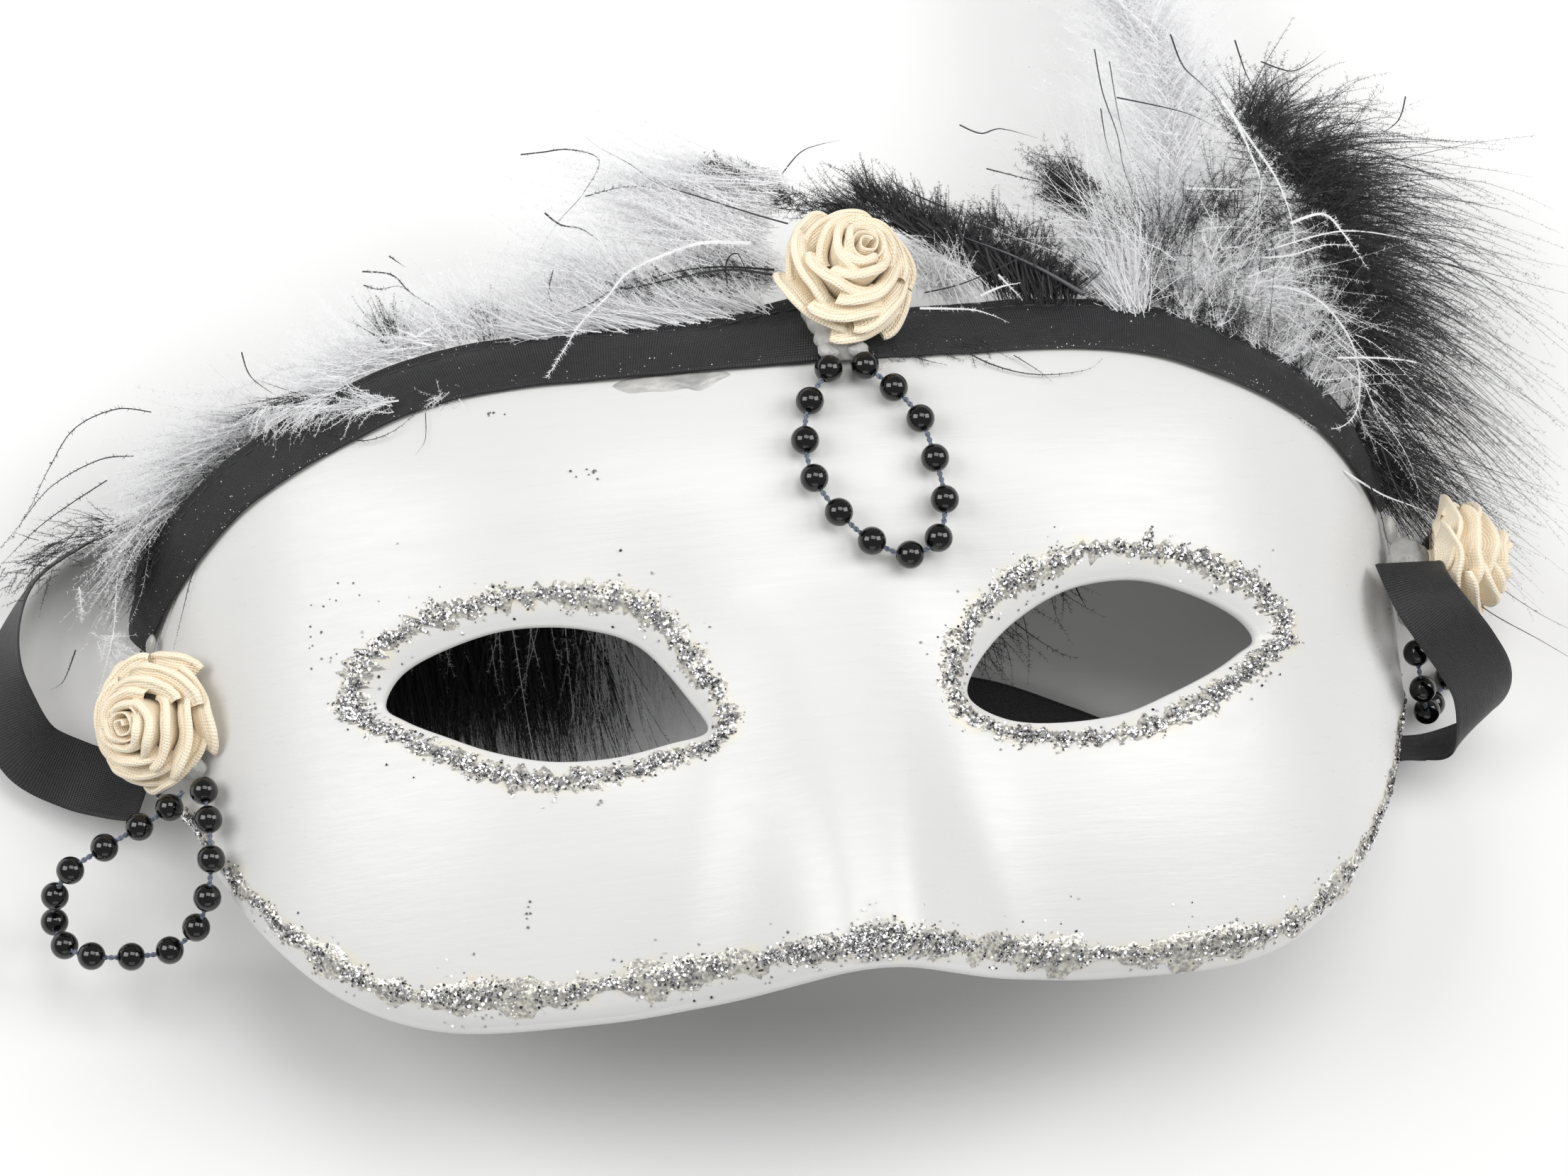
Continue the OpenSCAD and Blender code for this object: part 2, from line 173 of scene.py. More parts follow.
def join(parts):
    """One (points, faces) of several."""
    verts, faces, start = [], [], 0
    for v, f in parts:
        v = np.asarray(v, float).reshape(-1, 3)
        verts.append(v)
        faces.append(np.asarray(f, np.int64) + start)
        start += len(v)
    return np.concatenate(verts), np.concatenate(faces)


def wobble(p, size, seed=0.0):
    """Smooth noise from -1 to 1 at each of the points, on features about size millimetres wide."""
    p = np.asarray(p, float).reshape(-1, 3)
    return np.array([noise.noise(Vector((a / size + seed, b / size - seed, c / size + 2 * seed))) for a, b,
        c in p])


# ---- Node materials ----

def new_material(name, color, roughness, **sockets):
    """A Principled material and its node tree; constants go straight on the shader's sockets."""
    m = bpy.data.materials.new(name)
    m.use_nodes = True
    shader = m.node_tree.nodes["Principled BSDF"]
    shader.inputs["Base Color"].default_value = (*color, 1)
    shader.inputs["Roughness"].default_value = roughness
    for key, value in sockets.items():
        shader.inputs[key.replace("_", " ").title().replace("Ior", "IOR")].default_value = value
    return m


def add_node(m, kind, inputs=None, **settings):
    n = m.node_tree.nodes.new(kind)
    for key, value in settings.items():
        setattr(n, key, value)
    for key, value in (inputs or {}).items():
        if isinstance(value, bpy.types.NodeSocket):
            m.node_tree.links.new(value, n.inputs[key])
        else:
            n.inputs[key].default_value = value
    return n


def place(m, uv=None, scale=(1, 1, 1), rotation=(0, 0, 0)):
    """Object coordinates, or the weave's UV, as a scaled vector."""
    if uv:
        out = add_node(m, "ShaderNodeUVMap", uv_map=uv).outputs["UV"]
    else:
        out = add_node(m, "ShaderNodeTexCoord").outputs["Object"]
    return add_node(m, "ShaderNodeMapping",
        {"Vector": out, "Scale": scale, "Rotation": rotation}).outputs["Vector"]


def noise_node(m, vector, scale, detail=3.0, roughness=0.5):
    return add_node(m, "ShaderNodeTexNoise", {"Vector": vector, "Scale": scale, "Detail": detail,
                                              "Roughness": roughness}).outputs["Fac"]


def ramp(m, fac, stops):
    """Colour ramp from [(position, colour)]."""
    n = add_node(m, "ShaderNodeValToRGB", {"Fac": fac})
    e = n.color_ramp.elements
    while len(e) < len(stops):
        e.new(0.5)
    for spot, (at, color) in zip(e, stops):
        spot.position, spot.color = at, (*color, 1)
    return n.outputs["Color"]


def math_node(m, operation, a, b):
    return add_node(m, "ShaderNodeMath", {0: a, 1: b}, operation=operation).outputs[0]


def mix_color(m, fac, a, b):
    n = add_node(m, "ShaderNodeMix", data_type="RGBA")
    for key, value in ((0, fac), (6, a), (7, b)):
        if isinstance(value, bpy.types.NodeSocket):
            m.node_tree.links.new(value, n.inputs[key])
        elif key == 0:
            n.inputs[key].default_value = value
        else:
            n.inputs[key].default_value = (*value, 1)
    return n.outputs[2]


def to_shader(m, **links):
    shader = m.node_tree.nodes["Principled BSDF"]
    for key, value in links.items():
        m.node_tree.links.new(value, shader.inputs[key.replace("_", " ").title()])


def bump(m, height, strength, distance):
    inputs = {"Height": height, "Strength": strength, "Distance": distance}
    return add_node(m, "ShaderNodeBump", inputs).outputs["Normal"]


def grey(v):
    return v, v, v


def mottled(m, scale, stops, detail=3.0):
    """Colours from noise."""
    return ramp(m, noise_node(m, place(m), scale, detail), stops)


def by_island(m, stops):
    """A colour for each loose part of the mesh."""
    return ramp(m, add_node(m, "ShaderNodeNewGeometry").outputs["Random Per Island"], stops)


def satin(name, dark, light, roughness, twill, sheen):
    """Woven ribbon: ribs along and across in millimetres of the weave's UV, with uneven threads."""
    m = new_material(name, dark, roughness, sheen_weight=sheen, sheen_roughness=0.4)

    def ribs(pitch, way):
        inputs = {"Vector": place(m, "weave"), "Scale": 0.314 / pitch, "Distortion": 0.4, "Detail": 1.0,
                  "Detail Scale": 2.0}
        return add_node(m, "ShaderNodeTexWave", inputs, bands_direction=way).outputs["Fac"]

    cloth = math_node(m, "MULTIPLY", ribs(twill, "X"), ribs(twill * 0.8, "Y"))
    patches = noise_node(m, place(m, "weave", (0.35, 1.2, 1)), 1.0, 4.0)
    tone = math_node(m, "ADD", math_node(m, "MULTIPLY", cloth, 0.55), math_node(m, "MULTIPLY", patches, 0.45))
    to_shader(m, base_color=ramp(m, tone, [(0.15, dark), (0.85, light)]),
              roughness=math_node(m, "ADD", math_node(m, "MULTIPLY", patches, 0.25), roughness - 0.12),
              normal=bump(m, cloth, 0.9, 0.00012))
    return m


# ---- Shape of the shell, as in part.scad ----

HALF_W, DOME_H, SINK, SQUARE, WALL, LIP, LIP_REACH = 93, 58, 6, 2.3, 1.8, 1.4, 4.5
AROUND, CENTRE = 56, 12
EYES = {
    1: [[24, -10.8], [19, -7], [21, -1.8], [27, 3.9], [35.5, 7.8], [46, 8.7], [55, 6.4],
        [62, 3], [64.6, -0.4], [61.7, -2.7], [57, -5.5], [50, -8.6], [41.5, -11.4], [32, -12]],
    -1: [[23.7, -10.4], [18.3, -8.8], [20.4, -3.3], [26, 4.4], [34, 7.6], [44.5, 8.6], [53.5, 7],
         [60.2, 4.2], [63, 0], [60.5, -2.7], [55.5, -5.7], [48.5, -9.2], [40.5, -11.5], [32, -11.8]],
}
RIM = [[0, 49], [10, 49.7], [22, 50], [32.5, 48.3], [42.5, 44.2], [51.5, 40], [60, 35.5],
       [70, 28.5], [79, 22], [86, 15], [86.5, 2], [82, -6], [72.5, -11.5], [66.5, -19.5],
       [58, -29.5], [46.5, -40], [34.5, -46], [20, -47.2], [12, -46.4], [6, -45.4],
       [2.5, -44.8], [0, -44.6]]


def face(t, y):
    """Outer surface at the angle t round the section, in degrees, and the height y."""
    t, y = np.broadcast_arrays(np.asarray(t, float), np.asarray(y, float))
    s, c = np.sin(np.radians(t)), np.cos(np.radians(t))
    x = HALF_W * np.sign(s) * np.abs(s) ** (2 / SQUARE)
    rise = np.maximum(0, (12 - y) / 50) ** 1.2
    nose = 15 * rise * np.exp(-(np.abs(x) / (13 * (0.8 + 0.45 * rise))) ** 2.4)
    socket = 2 * np.exp(-((np.abs(x) - 24) / 10) ** 2 - ((y - 2) / 14) ** 2)
    back = 0.00018 * (np.maximum(0, y - 22) ** 2 + 0.5 * np.maximum(0, -15 - y) ** 2)
    z = DOME_H * np.maximum(c, 0) ** (2 / SQUARE) * (1 - back) + nose - socket - SINK
    return np.stack([x, y, z], axis=-1)


def face_normal(t, y):
    return unit(np.cross(face(t + 1, y) - face(t - 1, y), face(t, y + 0.5) - face(t, y - 0.5)))


def skin(t, y, lift):
    p = face(t, y) + np.asarray(lift, float)[..., None] * face_normal(t, y)
    p[..., 2] = np.maximum(0, p[..., 2])
    return p


def eye_edge(side, i):
    p = spline(EYES[side], np.asarray(i) * 14 / AROUND, closed=True)
    return np.stack([np.degrees(np.arcsin((p[:, 0] / HALF_W) ** (SQUARE / 2))), p[:, 1]], axis=1)


def outer_edge(i):
    i = np.asarray(i, float)
    curve = spline(RIM, np.clip((i - CENTRE) * 21 / (AROUND - CENTRE), 0, 21))
    line = np.stack([0 * i, -44.6 + 93.6 * i / CENTRE], axis=1)
    return np.where((i < CENTRE)[:, None], line, curve)


def ray_length(side, i):
    e, o = eye_edge(side, i), outer_edge(i)
    return np.linalg.norm(face(o[:, 0], o[:, 1]) - face(e[:, 0], e[:, 1]), axis=1)


def ray_point(side, i, d, lift):
    """Points on the rays i from an eye opening, d millimetres out from the opening."""
    i, d, lift = np.broadcast_arrays(np.atleast_1d(np.asarray(i, float)), d, lift)
    shape = i.shape
    i, d, lift = i.ravel() % AROUND, np.asarray(d, float).ravel(), np.asarray(lift, float).ravel()
    length = ray_length(side, i)
    e, o = eye_edge(side, i), outer_edge(i)
    w = (d / length)[:, None]
    q = e * (1 - w) + o * w
    on_rim = np.clip(np.maximum(1 - i, i - (CENTRE - 1)), 0, 1)
    dip = LIP * (np.clip(1 - np.maximum(0, d) / LIP_REACH, 0, 1) ** 2
                 + on_rim * np.clip(1 - np.maximum(0, length - d) / LIP_REACH, 0, 1) ** 2)
    p = skin(side * np.maximum(0, q[:, 0]), q[:, 1], lift - dip)
    return p.reshape(*shape, 3)


def rim_point(side, i, d, lift):
    """Points on the same rays, d millimetres in from the outer edge."""
    i = np.atleast_1d(np.asarray(i, float))
    return ray_point(side, i, ray_length(side, i.ravel() % AROUND).reshape(i.shape) - d, lift)


# ---- Floor and light ----

def make_stage():
    m = new_material("backdrop_paper", (0.9, 0.9, 0.895), 0.6)
    grain = noise_node(m, place(m), 900.0, 2.0)
    to_shader(m, normal=bump(m, grain, 0.08, 0.0001))
    verts = [[x, y, 0] for y in (-900, 900) for x in (-900, 900)]
    floor = mesh_piece("floor", verts, [[0, 1, 3, 2]], m, body=None)


def area_light(name, at, towards, size, power):
    data = bpy.data.lights.new(name, "AREA")
    data.shape, data.size, data.size_y, data.energy = "RECTANGLE", size[0], size[1], power
    ob = bpy.data.objects.new(name, data)
    ob.location = at
    ob.rotation_euler = (Vector(towards) - Vector(at)).to_track_quat("-Z", "Y").to_euler()
    bpy.context.scene.collection.objects.link(ob)


def make_light():
    world = bpy.data.worlds.new("studio")
    world.use_nodes = True
    sky = world.node_tree.nodes["Background"].inputs
    sky["Color"].default_value = (1, 1, 1, 1)
    sky["Strength"].default_value = 0.31
    bpy.context.scene.world = world
    area_light("softbox_top", (0.1, 0.4, 1.3), (0, 0.02, 0.02), (0.8, 0.6), 5.6)
    area_light("softbox_front", (-0.1, -1.1, 0.5), (0, -0.02, 0.03), (0.9, 0.5), 1.2)
    area_light("softbox_left", (-0.9, 0.3, 0.8), (0, 0, 0.02), (0.6, 0.8), 7.4)
    area_light("softbox_right", (0.9, 0.2, 0.9), (0, 0, 0.02), (0.6, 0.8), 7.6)
    bpy.context.scene.view_settings.view_transform = "Standard"


make_stage()
make_light()


# ---- Cords: the threads of the bead loops and the two ties ----

LOOPS = {
    "center": [[4.4, 43, 50.2], [3.8, 40.4, 51.2], [0.5, 35.8, 52.3], [-1, 30, 53.7], [-0.4, 24.4, 54.5],
               [2.5, 19.3, 54.7], [6.7, 14.9, 54.6], [11.9, 12.6, 54.3], [16.2, 14.7, 54],
               [17.7, 20.1, 53.9], [17, 26.1, 53.7], [15.7, 32, 53], [12.6, 36.9, 52],
               [9, 40.5, 51.2], [8.4, 43, 50.2]],
    "left": [[-86.9, -5.6, 23.6], [-86.7, -7.8, 25], [-86.5, -12.1, 26], [-86.6, -17.7, 26],
             [-87.5, -22.8, 24], [-89.2, -26.4, 20.3], [-93, -28.9, 17.3], [-98.4, -29.2, 16.2],
             [-103.9, -28.5, 15.2], [-107.4, -26.2, 11.6], [-108.4, -22.3, 8.3], [-108.2, -19.2, 12.6],
             [-105.9, -16.3, 16.6], [-100.9, -13.6, 17.4], [-95.8, -11.2, 18.3], [-91.4, -9, 19.6],
             [-89.4, -7, 20.6]],
    "right": [[92.7, 2.4, 15], [92.6, -0.6, 13.8], [93.2, -5.8, 12.4], [94.6, -8.4, 7.8], [96.6, -6.8, 3.6],
              [99.8, -2.8, 2.5], [102.2, 1.8, 2.5], [103.2, 7.1, 2.5], [103, 12.5, 2.5], [100.4, 17, 2.5],
              [96.6, 13.4, 3.4], [96, 8.6, 5.8], [94.4, 4, 12.4]],
}
TIES = {
    "left": [
        [[-94, -5, 11.4], [0.2, 1, -0.3]], [[-98.5, -3.5, 8.2], [0.2, 1, -0.2]],
        [[-104, -1, 6.2], [0.3, 1, 0.1]], [[-109.5, 2.5, 6.2], [0.9, 0.8, 0.4]],
        [[-112, 8, 6.6], [1, 0.1, 0.7]], [[-112.5, 14.5, 6.6], [0.6, 0, 1]],
        [[-111, 21, 6.4], [0.3, 0, 1]], [[-107, 27.5, 6.2], [0, -0.2, 1]],
        [[-100, 32, 6], [0, -0.2, 1]], [[-91, 35, 5.8], [0, 0, 1]],
        [[-80, 37, 5.8], [0, 0, 1]], [[-66, 39, 5.8], [0, 0, 1]], [[-50, 41, 5.8], [0, 0, 1]],
        [[-32, 42, 5.8], [0, 0, 1]], [[-14, 42, 5.8], [0, 0, 1]], [[4, 42, 5.8], [0, 0, 1]],
        [[20, 41.5, 5.8], [0, 0, 1]], [[30, 38, 5.8], [0, 0, 1]], [[32.5, 33, 5.8], [0, 0, 1]],
        [[28, 29, 5.8], [0, 0, 1]], [[16, 28, 5.8], [0, 0, 1]], [[4, 28, 5.8], [0, 0, 1]]],
    "right": [
        [[90.3, 11, 24.4], [1, 0, 0]], [[90.2, 8.6, 27.2], [1, 0, 0]],
        [[91.2, 4.8, 28.8], [1, 0.05, 0]], [[93.8, 0.6, 28.2], [1, 0.1, -0.1]],
        [[97, -3.2, 25.4], [1, 0.2, -0.1]], [[100, -6.8, 20.6], [0.95, 0.3, -0.1]],
        [[101, -10.2, 14.6], [0.85, 0.5, -0.1]], [[99, -12.8, 9.2], [0.65, 0.65, -0.4]],
        [[94, -13.4, 6], [0.3, 0.5, -0.8]], [[88, -13.4, 6.4], [0, 0.5, -0.85]],
        [[80, -14.5, 4.6], [0, 0.75, -0.65]], [[68, -16, 2.2], [-0.1, 1, -0.2]],
        [[53, -12.5, 1], [-0.35, 1, 0]], [[41, -7, 1], [-0.5, 1, 0]], [[29, -2, 1], [-0.3, 1, 0]],
        [[17, -0.5, 1], [0.1, 1, 0]], [[5, -3.5, 1], [-0.5, 1, 0]], [[-4, -9.5, 1], [-1, 0.6, 0]],
        [[-7, -18, 1], [-1, -0.2, 0]], [[-1.5, -25.5, 1], [-0.7, -1, 0]], [[9, -29, 1], [0, -1, 0]],
        [[21, -29, 1], [0, -1, 0]], [[33, -28.5, 1], [0, -1, 0]]],
}

black_satin = satin("black_satin_weave", (0.004, 0.004, 0.005), (0.03, 0.03, 0.033), 0.44, 0.36, 0.04)
thread_fibre = new_material("blue_grey_thread", (0.09, 0.11, 0.15), 0.7, sheen_weight=0.3)
to_shader(thread_fibre, base_color=mottled(thread_fibre, 3000.0,
    [(0.3, (0.05, 0.065, 0.1)), (0.7, (0.22, 0.25, 0.31))]))
bead_gloss = new_material("polished_black_bead", (0.002, 0.002, 0.002), 0.06, coat_weight=0.25,
    coat_roughness=0.03)
to_shader(bead_gloss, roughness=mottled(bead_gloss, 500.0, [(0.45, grey(0.05)), (0.8, grey(0.16))], 4.0))


def sides_along(p):
    """Two side directions at each point of a line, carried along without twist."""
    t = tangents(p)
    side = unit(np.cross(t[0], (0.13, 0.21, 0.97)))
    sides = []
    for d in t:
        side = unit(side - d * (side @ d))
        sides.append(side)
    sides = np.array(sides)
    return sides, np.cross(t, sides)


BEAD_D, BEAD_HOLE, THREAD_D, TWIST_PITCH, STEPS_PER_TWIST = 4.0, 0.32, 0.8, 1.7, 9


def twisted_thread(line, d):
    """Two plies that wind round a line."""
    p = even_steps(line, TWIST_PITCH / STEPS_PER_TWIST)
    a, b = sides_along(p)
    turn = np.arange(len(p)) * 2 * math.pi / STEPS_PER_TWIST
    parts = []
    for phase in (0, math.pi):
        c = p + d * 0.23 * (np.cos(turn + phase)[:, None] * a + np.sin(turn + phase)[:, None] * b)
        parts.append((c[:, None] + d * 0.27 * circles(a, b, 6), grid_faces(len(p), 6, close_cols=True)))
    return join(parts)


def bead(at, axis, d, turn):
    """A bead with its hole and the faint seam of its mould."""
    r = d / 2
    hole = [(0.1, 0.78 * r), (BEAD_HOLE * 0.7, 0.9 * r), (BEAD_HOLE, 0.965 * r)]
    seam = lambda q: 1 - 0.006 * math.exp(-((q - math.pi / 2) / 0.03) ** 2)
    profile = hole + [(r * math.sin(q) * seam(q), r * math.cos(q)) for q in np.linspace(0.3, math.pi - 0.3, 22)]
    profile += [(out, -h) for out, h in hole[::-1]]
    a = unit(np.cross(axis, [0.3, 0.2, 0.9]))
    b = np.cross(axis, a)
    ring = np.linspace(0, 2 * math.pi, 33)[:-1] + turn
    v = [at + rad * (math.cos(q) * a + math.sin(q) * b) + h * axis for rad, h in profile for q in ring]
    return v, grid_faces(len(profile), 32, close_cols=True)


def make_loop(name):
    p = np.array(LOOPS[name], float)
    fine = spline(p, np.linspace(0, len(p) - 1, 16 * len(p)))
    along = tangents(fine)
    beads = []
    for k in range(1, len(p) - 1):
        axis = along[np.argmin(np.linalg.norm(fine - p[k], axis=1))]
        beads.append(bead(p[k], axis, BEAD_D, 0.7 * k))
    v, f = join(beads)
    string = mesh_piece("bead_string_" + name, v, f, bead_gloss, "loop_" + name, "black_bead",
                        stands_for=["beads_" + name])
    v, f = twisted_thread(p, THREAD_D)
    thread = mesh_piece("twisted_thread_" + name, v, f, thread_fibre, "loop_" + name, "thread",
                        stands_for=["thread_" + name])
    path = even_steps(p, 0.5)


TIE_HALF, TIE_AROUND = 5.0, 40


def make_tie(name):
    route = np.array([np.concatenate(r) for r in TIES[name]], float)
    samples = even_steps(route, 0.45)
    p = samples[:, :3]
    t = tangents(p)
    side = unit(samples[:, 3:] - t * np.sum(samples[:, 3:] * t, axis=1, keepdims=True))
    up = np.cross(t, side)
    n = len(p)
    along = distances(p)
    around = np.linspace(0, 2 * math.pi, TIE_AROUND + 1)[:-1]
    across = TIE_HALF * np.sign(np.cos(around)) * np.abs(np.cos(around)) ** 0.4
    hem = 0.12 * np.exp(-((np.abs(across) - 4.5) / 0.35) ** 2)
    thick = (0.17 + hem) * np.sin(around)
    fade = np.exp(-((along[:, None] - 38) / 55) ** 2)
    ripple = 0.22 * np.sin(along / 4.3)[:, None] * np.sin(across / 2.1 + 1)[None] * fade
    v = p[:, None] + across[None, :, None] * side[:, None] + thick[None, :, None] * up[:, None]
    v = v + (ripple * 0.8)[..., None] * up[:, None]
    v[..., 2] = np.maximum(v[..., 2], 0.05)
    faces = np.concatenate([grid_faces(n, TIE_AROUND, close_cols=True), lid(0, TIE_AROUND),
        lid(n - 1, TIE_AROUND, True)])
    tie = mesh_piece("satin_tie_" + name, v, faces, black_satin, "mask", "black_satin",
                     uv=weave_uv(along, across, around, 20), stands_for=["tie_" + name])


for each in LOOPS:
    make_loop(each)
for each in TIES:
    make_tie(each)


# ---- Shell ----

def shell_material():
    m = new_material("brushed_white_paint", (0.8, 0.8, 0.79), 0.32, coat_weight=0.06, coat_roughness=0.3)
    strokes = noise_node(m, place(m, None, (60, 900, 300)), 1.0, 4.0, 0.6)
    scratch = noise_node(m, place(m, None, (2600, 90, 400), (0, 0, 0.6)), 1.0, 2.0)
    orange = noise_node(m, place(m), 260.0, 3.0)
    height = math_node(m, "ADD", math_node(m, "MULTIPLY", strokes, 0.7), math_node(m, "MULTIPLY", orange, 0.5))
    fine = math_node(m, "ADD", height, math_node(m, "MULTIPLY", math_node(m, "GREATER_THAN", scratch, 0.69),
        0.25))
    base = mottled(m, 18.0, [(0.3, (0.7, 0.7, 0.686)), (0.7, (0.74, 0.74, 0.73))])
    tint = add_node(m, "ShaderNodeAttribute", attribute_name="glue").outputs["Fac"]
    worn = math_node(m, "MULTIPLY", tint, mottled(m, 240.0, [(0.35, grey(0)), (0.7, grey(1))]))
    # The underside's near-black colour is painted shade: it darkens the shade under the mask by cutting the
    # light bounced there.
    painted_shade_lining = mottled(m, 700.0, [(0.3, (0.05, 0.048, 0.044)), (0.7, (0.1, 0.095, 0.088))], 4.0)
    inside = add_node(m, "ShaderNodeAttribute", attribute_name="inside").outputs["Fac"]
    to_shader(m, base_color=mix_color(m, inside, mix_color(m, worn, base, (0.78, 0.71, 0.52)), painted_shade_lining),
              roughness=ramp(m, strokes, [(0.3, grey(0.26)), (0.75, grey(0.4))]),
              normal=bump(m, fine, 0.16, 0.0004))
    return m


def make_shell():
    """The CAD shell's surface on a finer grid, with rounded edges and the unevenness of paint."""
    per = 4
    i = np.arange(AROUND * per) / per
    ease = np.array([0, 0.06, 0.14, 0.24, 0.36, 0.5, 0.66, 0.83, 1.0])
    turns = np.radians([30, 60, 90, 120, 150])
    parts, depths = [], []
    for side in (1, -1):
        length = ray_length(side, i)
        a = np.minimum(LIP_REACH, length * 0.3)
        inner = ease[None] * a[:, None]
        middle = a[:, None] + np.linspace(0, 1, 34)[None, 1:-1] * (length - 2 * a)[:, None]
        d = np.concatenate([inner, middle, length[:, None] - inner[:, ::-1]], axis=1)
        ii = np.repeat(i[:, None], d.shape[1], axis=1)
        outer = ray_point(side, ii, d, 0)
        n = wobble(outer, 30) * 0.16 + wobble(outer, 9, 3.1) * 0.03
        quiet = np.clip(np.minimum(d, length[:, None] - d) / 8, 0, 1).ravel()
        lift = (n * quiet * (np.abs(outer[..., 0].ravel()) > 0.01)).reshape(d.shape)
        lift = lift * np.clip(np.abs(outer[..., 0]) / 8, 0, 1)
        outer = ray_point(side, ii, d, lift)
        under = ray_point(side, ii, d, -WALL)[:, ::-1]
        out = np.stack([ray_point(side, i, length + 0.5 * WALL * math.sin(q),
            -WALL / 2 + WALL / 2 * math.cos(q))
                        for q in turns], axis=1)
        back = np.stack([ray_point(side, i, -0.35 * WALL * math.sin(q), -WALL / 2 - WALL / 2 * math.cos(q))
                         for q in turns], axis=1)
        ring = np.concatenate([outer, out, under, back], axis=1)
        rows, cols = ring.shape[:2]
        faces = grid_faces(rows, cols, close_rows=True, close_cols=True)
        row, col = np.divmod(faces[:, 0], cols)
        k = outer.shape[1]
        gap = (col >= k - 1) & (col < k + len(turns)) & (row < CENTRE * per)
        faces = faces[~gap]
        if side == 1:
            faces = faces[:, ::-1]
        parts.append((ring, faces))
        # Marks the underside rows, which the shell's material paints near black as painted shade under the
        # mask.
        deep = np.zeros(cols)
        deep[k + len(turns) + 5:k + len(turns) + under.shape[1] - 3] = 1
        depths.append(np.tile(deep, rows))
    v, f = join(parts)
    ob = mesh_piece("painted_shell", v, f, shell_material(), "mask", "white_paint", stands_for=["mask_shell"])
    layer = ob.data.attributes.new("inside", "FLOAT", "POINT")
    layer.data.foreach_set("value", np.concatenate(depths).astype(np.float32))
    ob.modifiers.new("weld", "WELD").merge_threshold = 0.00002
    return ob


def tint_near(ob, points, reach):
    """Stores how near each vertex is to the points, as the attribute glue."""
    tree = KDTree(len(points))
    for k, p in enumerate(points):
        tree.insert(Vector(p) * MM, k)
    tree.balance()
    near = [max(0.0, 1 - tree.find(v.co)[2] / (reach * MM)) for v in ob.data.vertices]
    layer = ob.data.attributes.new("glue", "FLOAT", "POINT")
    layer.data.foreach_set("value", np.array(near, np.float32))


shell = make_shell()


def on_shell(x, y, lift=0.0):
    """Points of the outer surface over (x, y), raised along the normal, and the normals."""
    x, y = np.broadcast_arrays(np.asarray(x, float), np.asarray(y, float))
    t = np.sign(x) * np.degrees(np.arcsin(np.clip(np.abs(x) / HALF_W, 0, 1) ** (SQUARE / 2)))
    n = face_normal(t, y)
    return face(t, y) + np.asarray(lift)[..., None] * n, n


# ---- Glitter ----

rng = np.random.default_rng(11)

flake_metal = new_material("glitter_flakes", (0.6, 0.6, 0.62), 0.22, metallic=1.0)
to_shader(flake_metal, base_color=by_island(flake_metal, [
    (0.05, (0.08, 0.08, 0.085)), (0.22, (0.34, 0.34, 0.35)), (0.45, (0.7, 0.7, 0.71)),
    (0.7, (0.97, 0.97, 0.96))]))
glitter_glue = new_material("glitter_glue", (0.62, 0.6, 0.54), 0.3, metallic=0.35)
to_shader(glitter_glue, base_color=mottled(glitter_glue, 1500.0,
    [(0.35, (0.36, 0.35, 0.33)), (0.65, (0.8, 0.77, 0.68))]),
          normal=bump(glitter_glue, noise_node(glitter_glue, place(glitter_glue), 1700.0, 2.0), 0.6, 0.0003))


def flakes(points, normals, size, tilt):
    """Hexagonal flakes at the points, tipped about their normals at random."""
    n = len(points)
    up = unit(normals + tilt * rng.normal(size=(n, 3)))
    a = unit(np.cross(up, rng.normal(size=(n, 3))))
    b = np.cross(up, a)
    r = size * rng.uniform(0.7, 1.25, (n, 1, 1))
    return (points[:, None] + r * circles(a, b, 6)).reshape(-1, 3)


def flake_piece(name, v, material):
    mesh_piece(name, v, np.arange(len(v)).reshape(-1, 6), material, "mask", "silver_glitter", smooth=False)


def band_noise(i, seed):
    return np.array([noise.noise(Vector((k * 1.9, seed, 0))) + 0.6 * noise.noise(Vector((k * 5.3, seed, 4)))
                     for k in i])


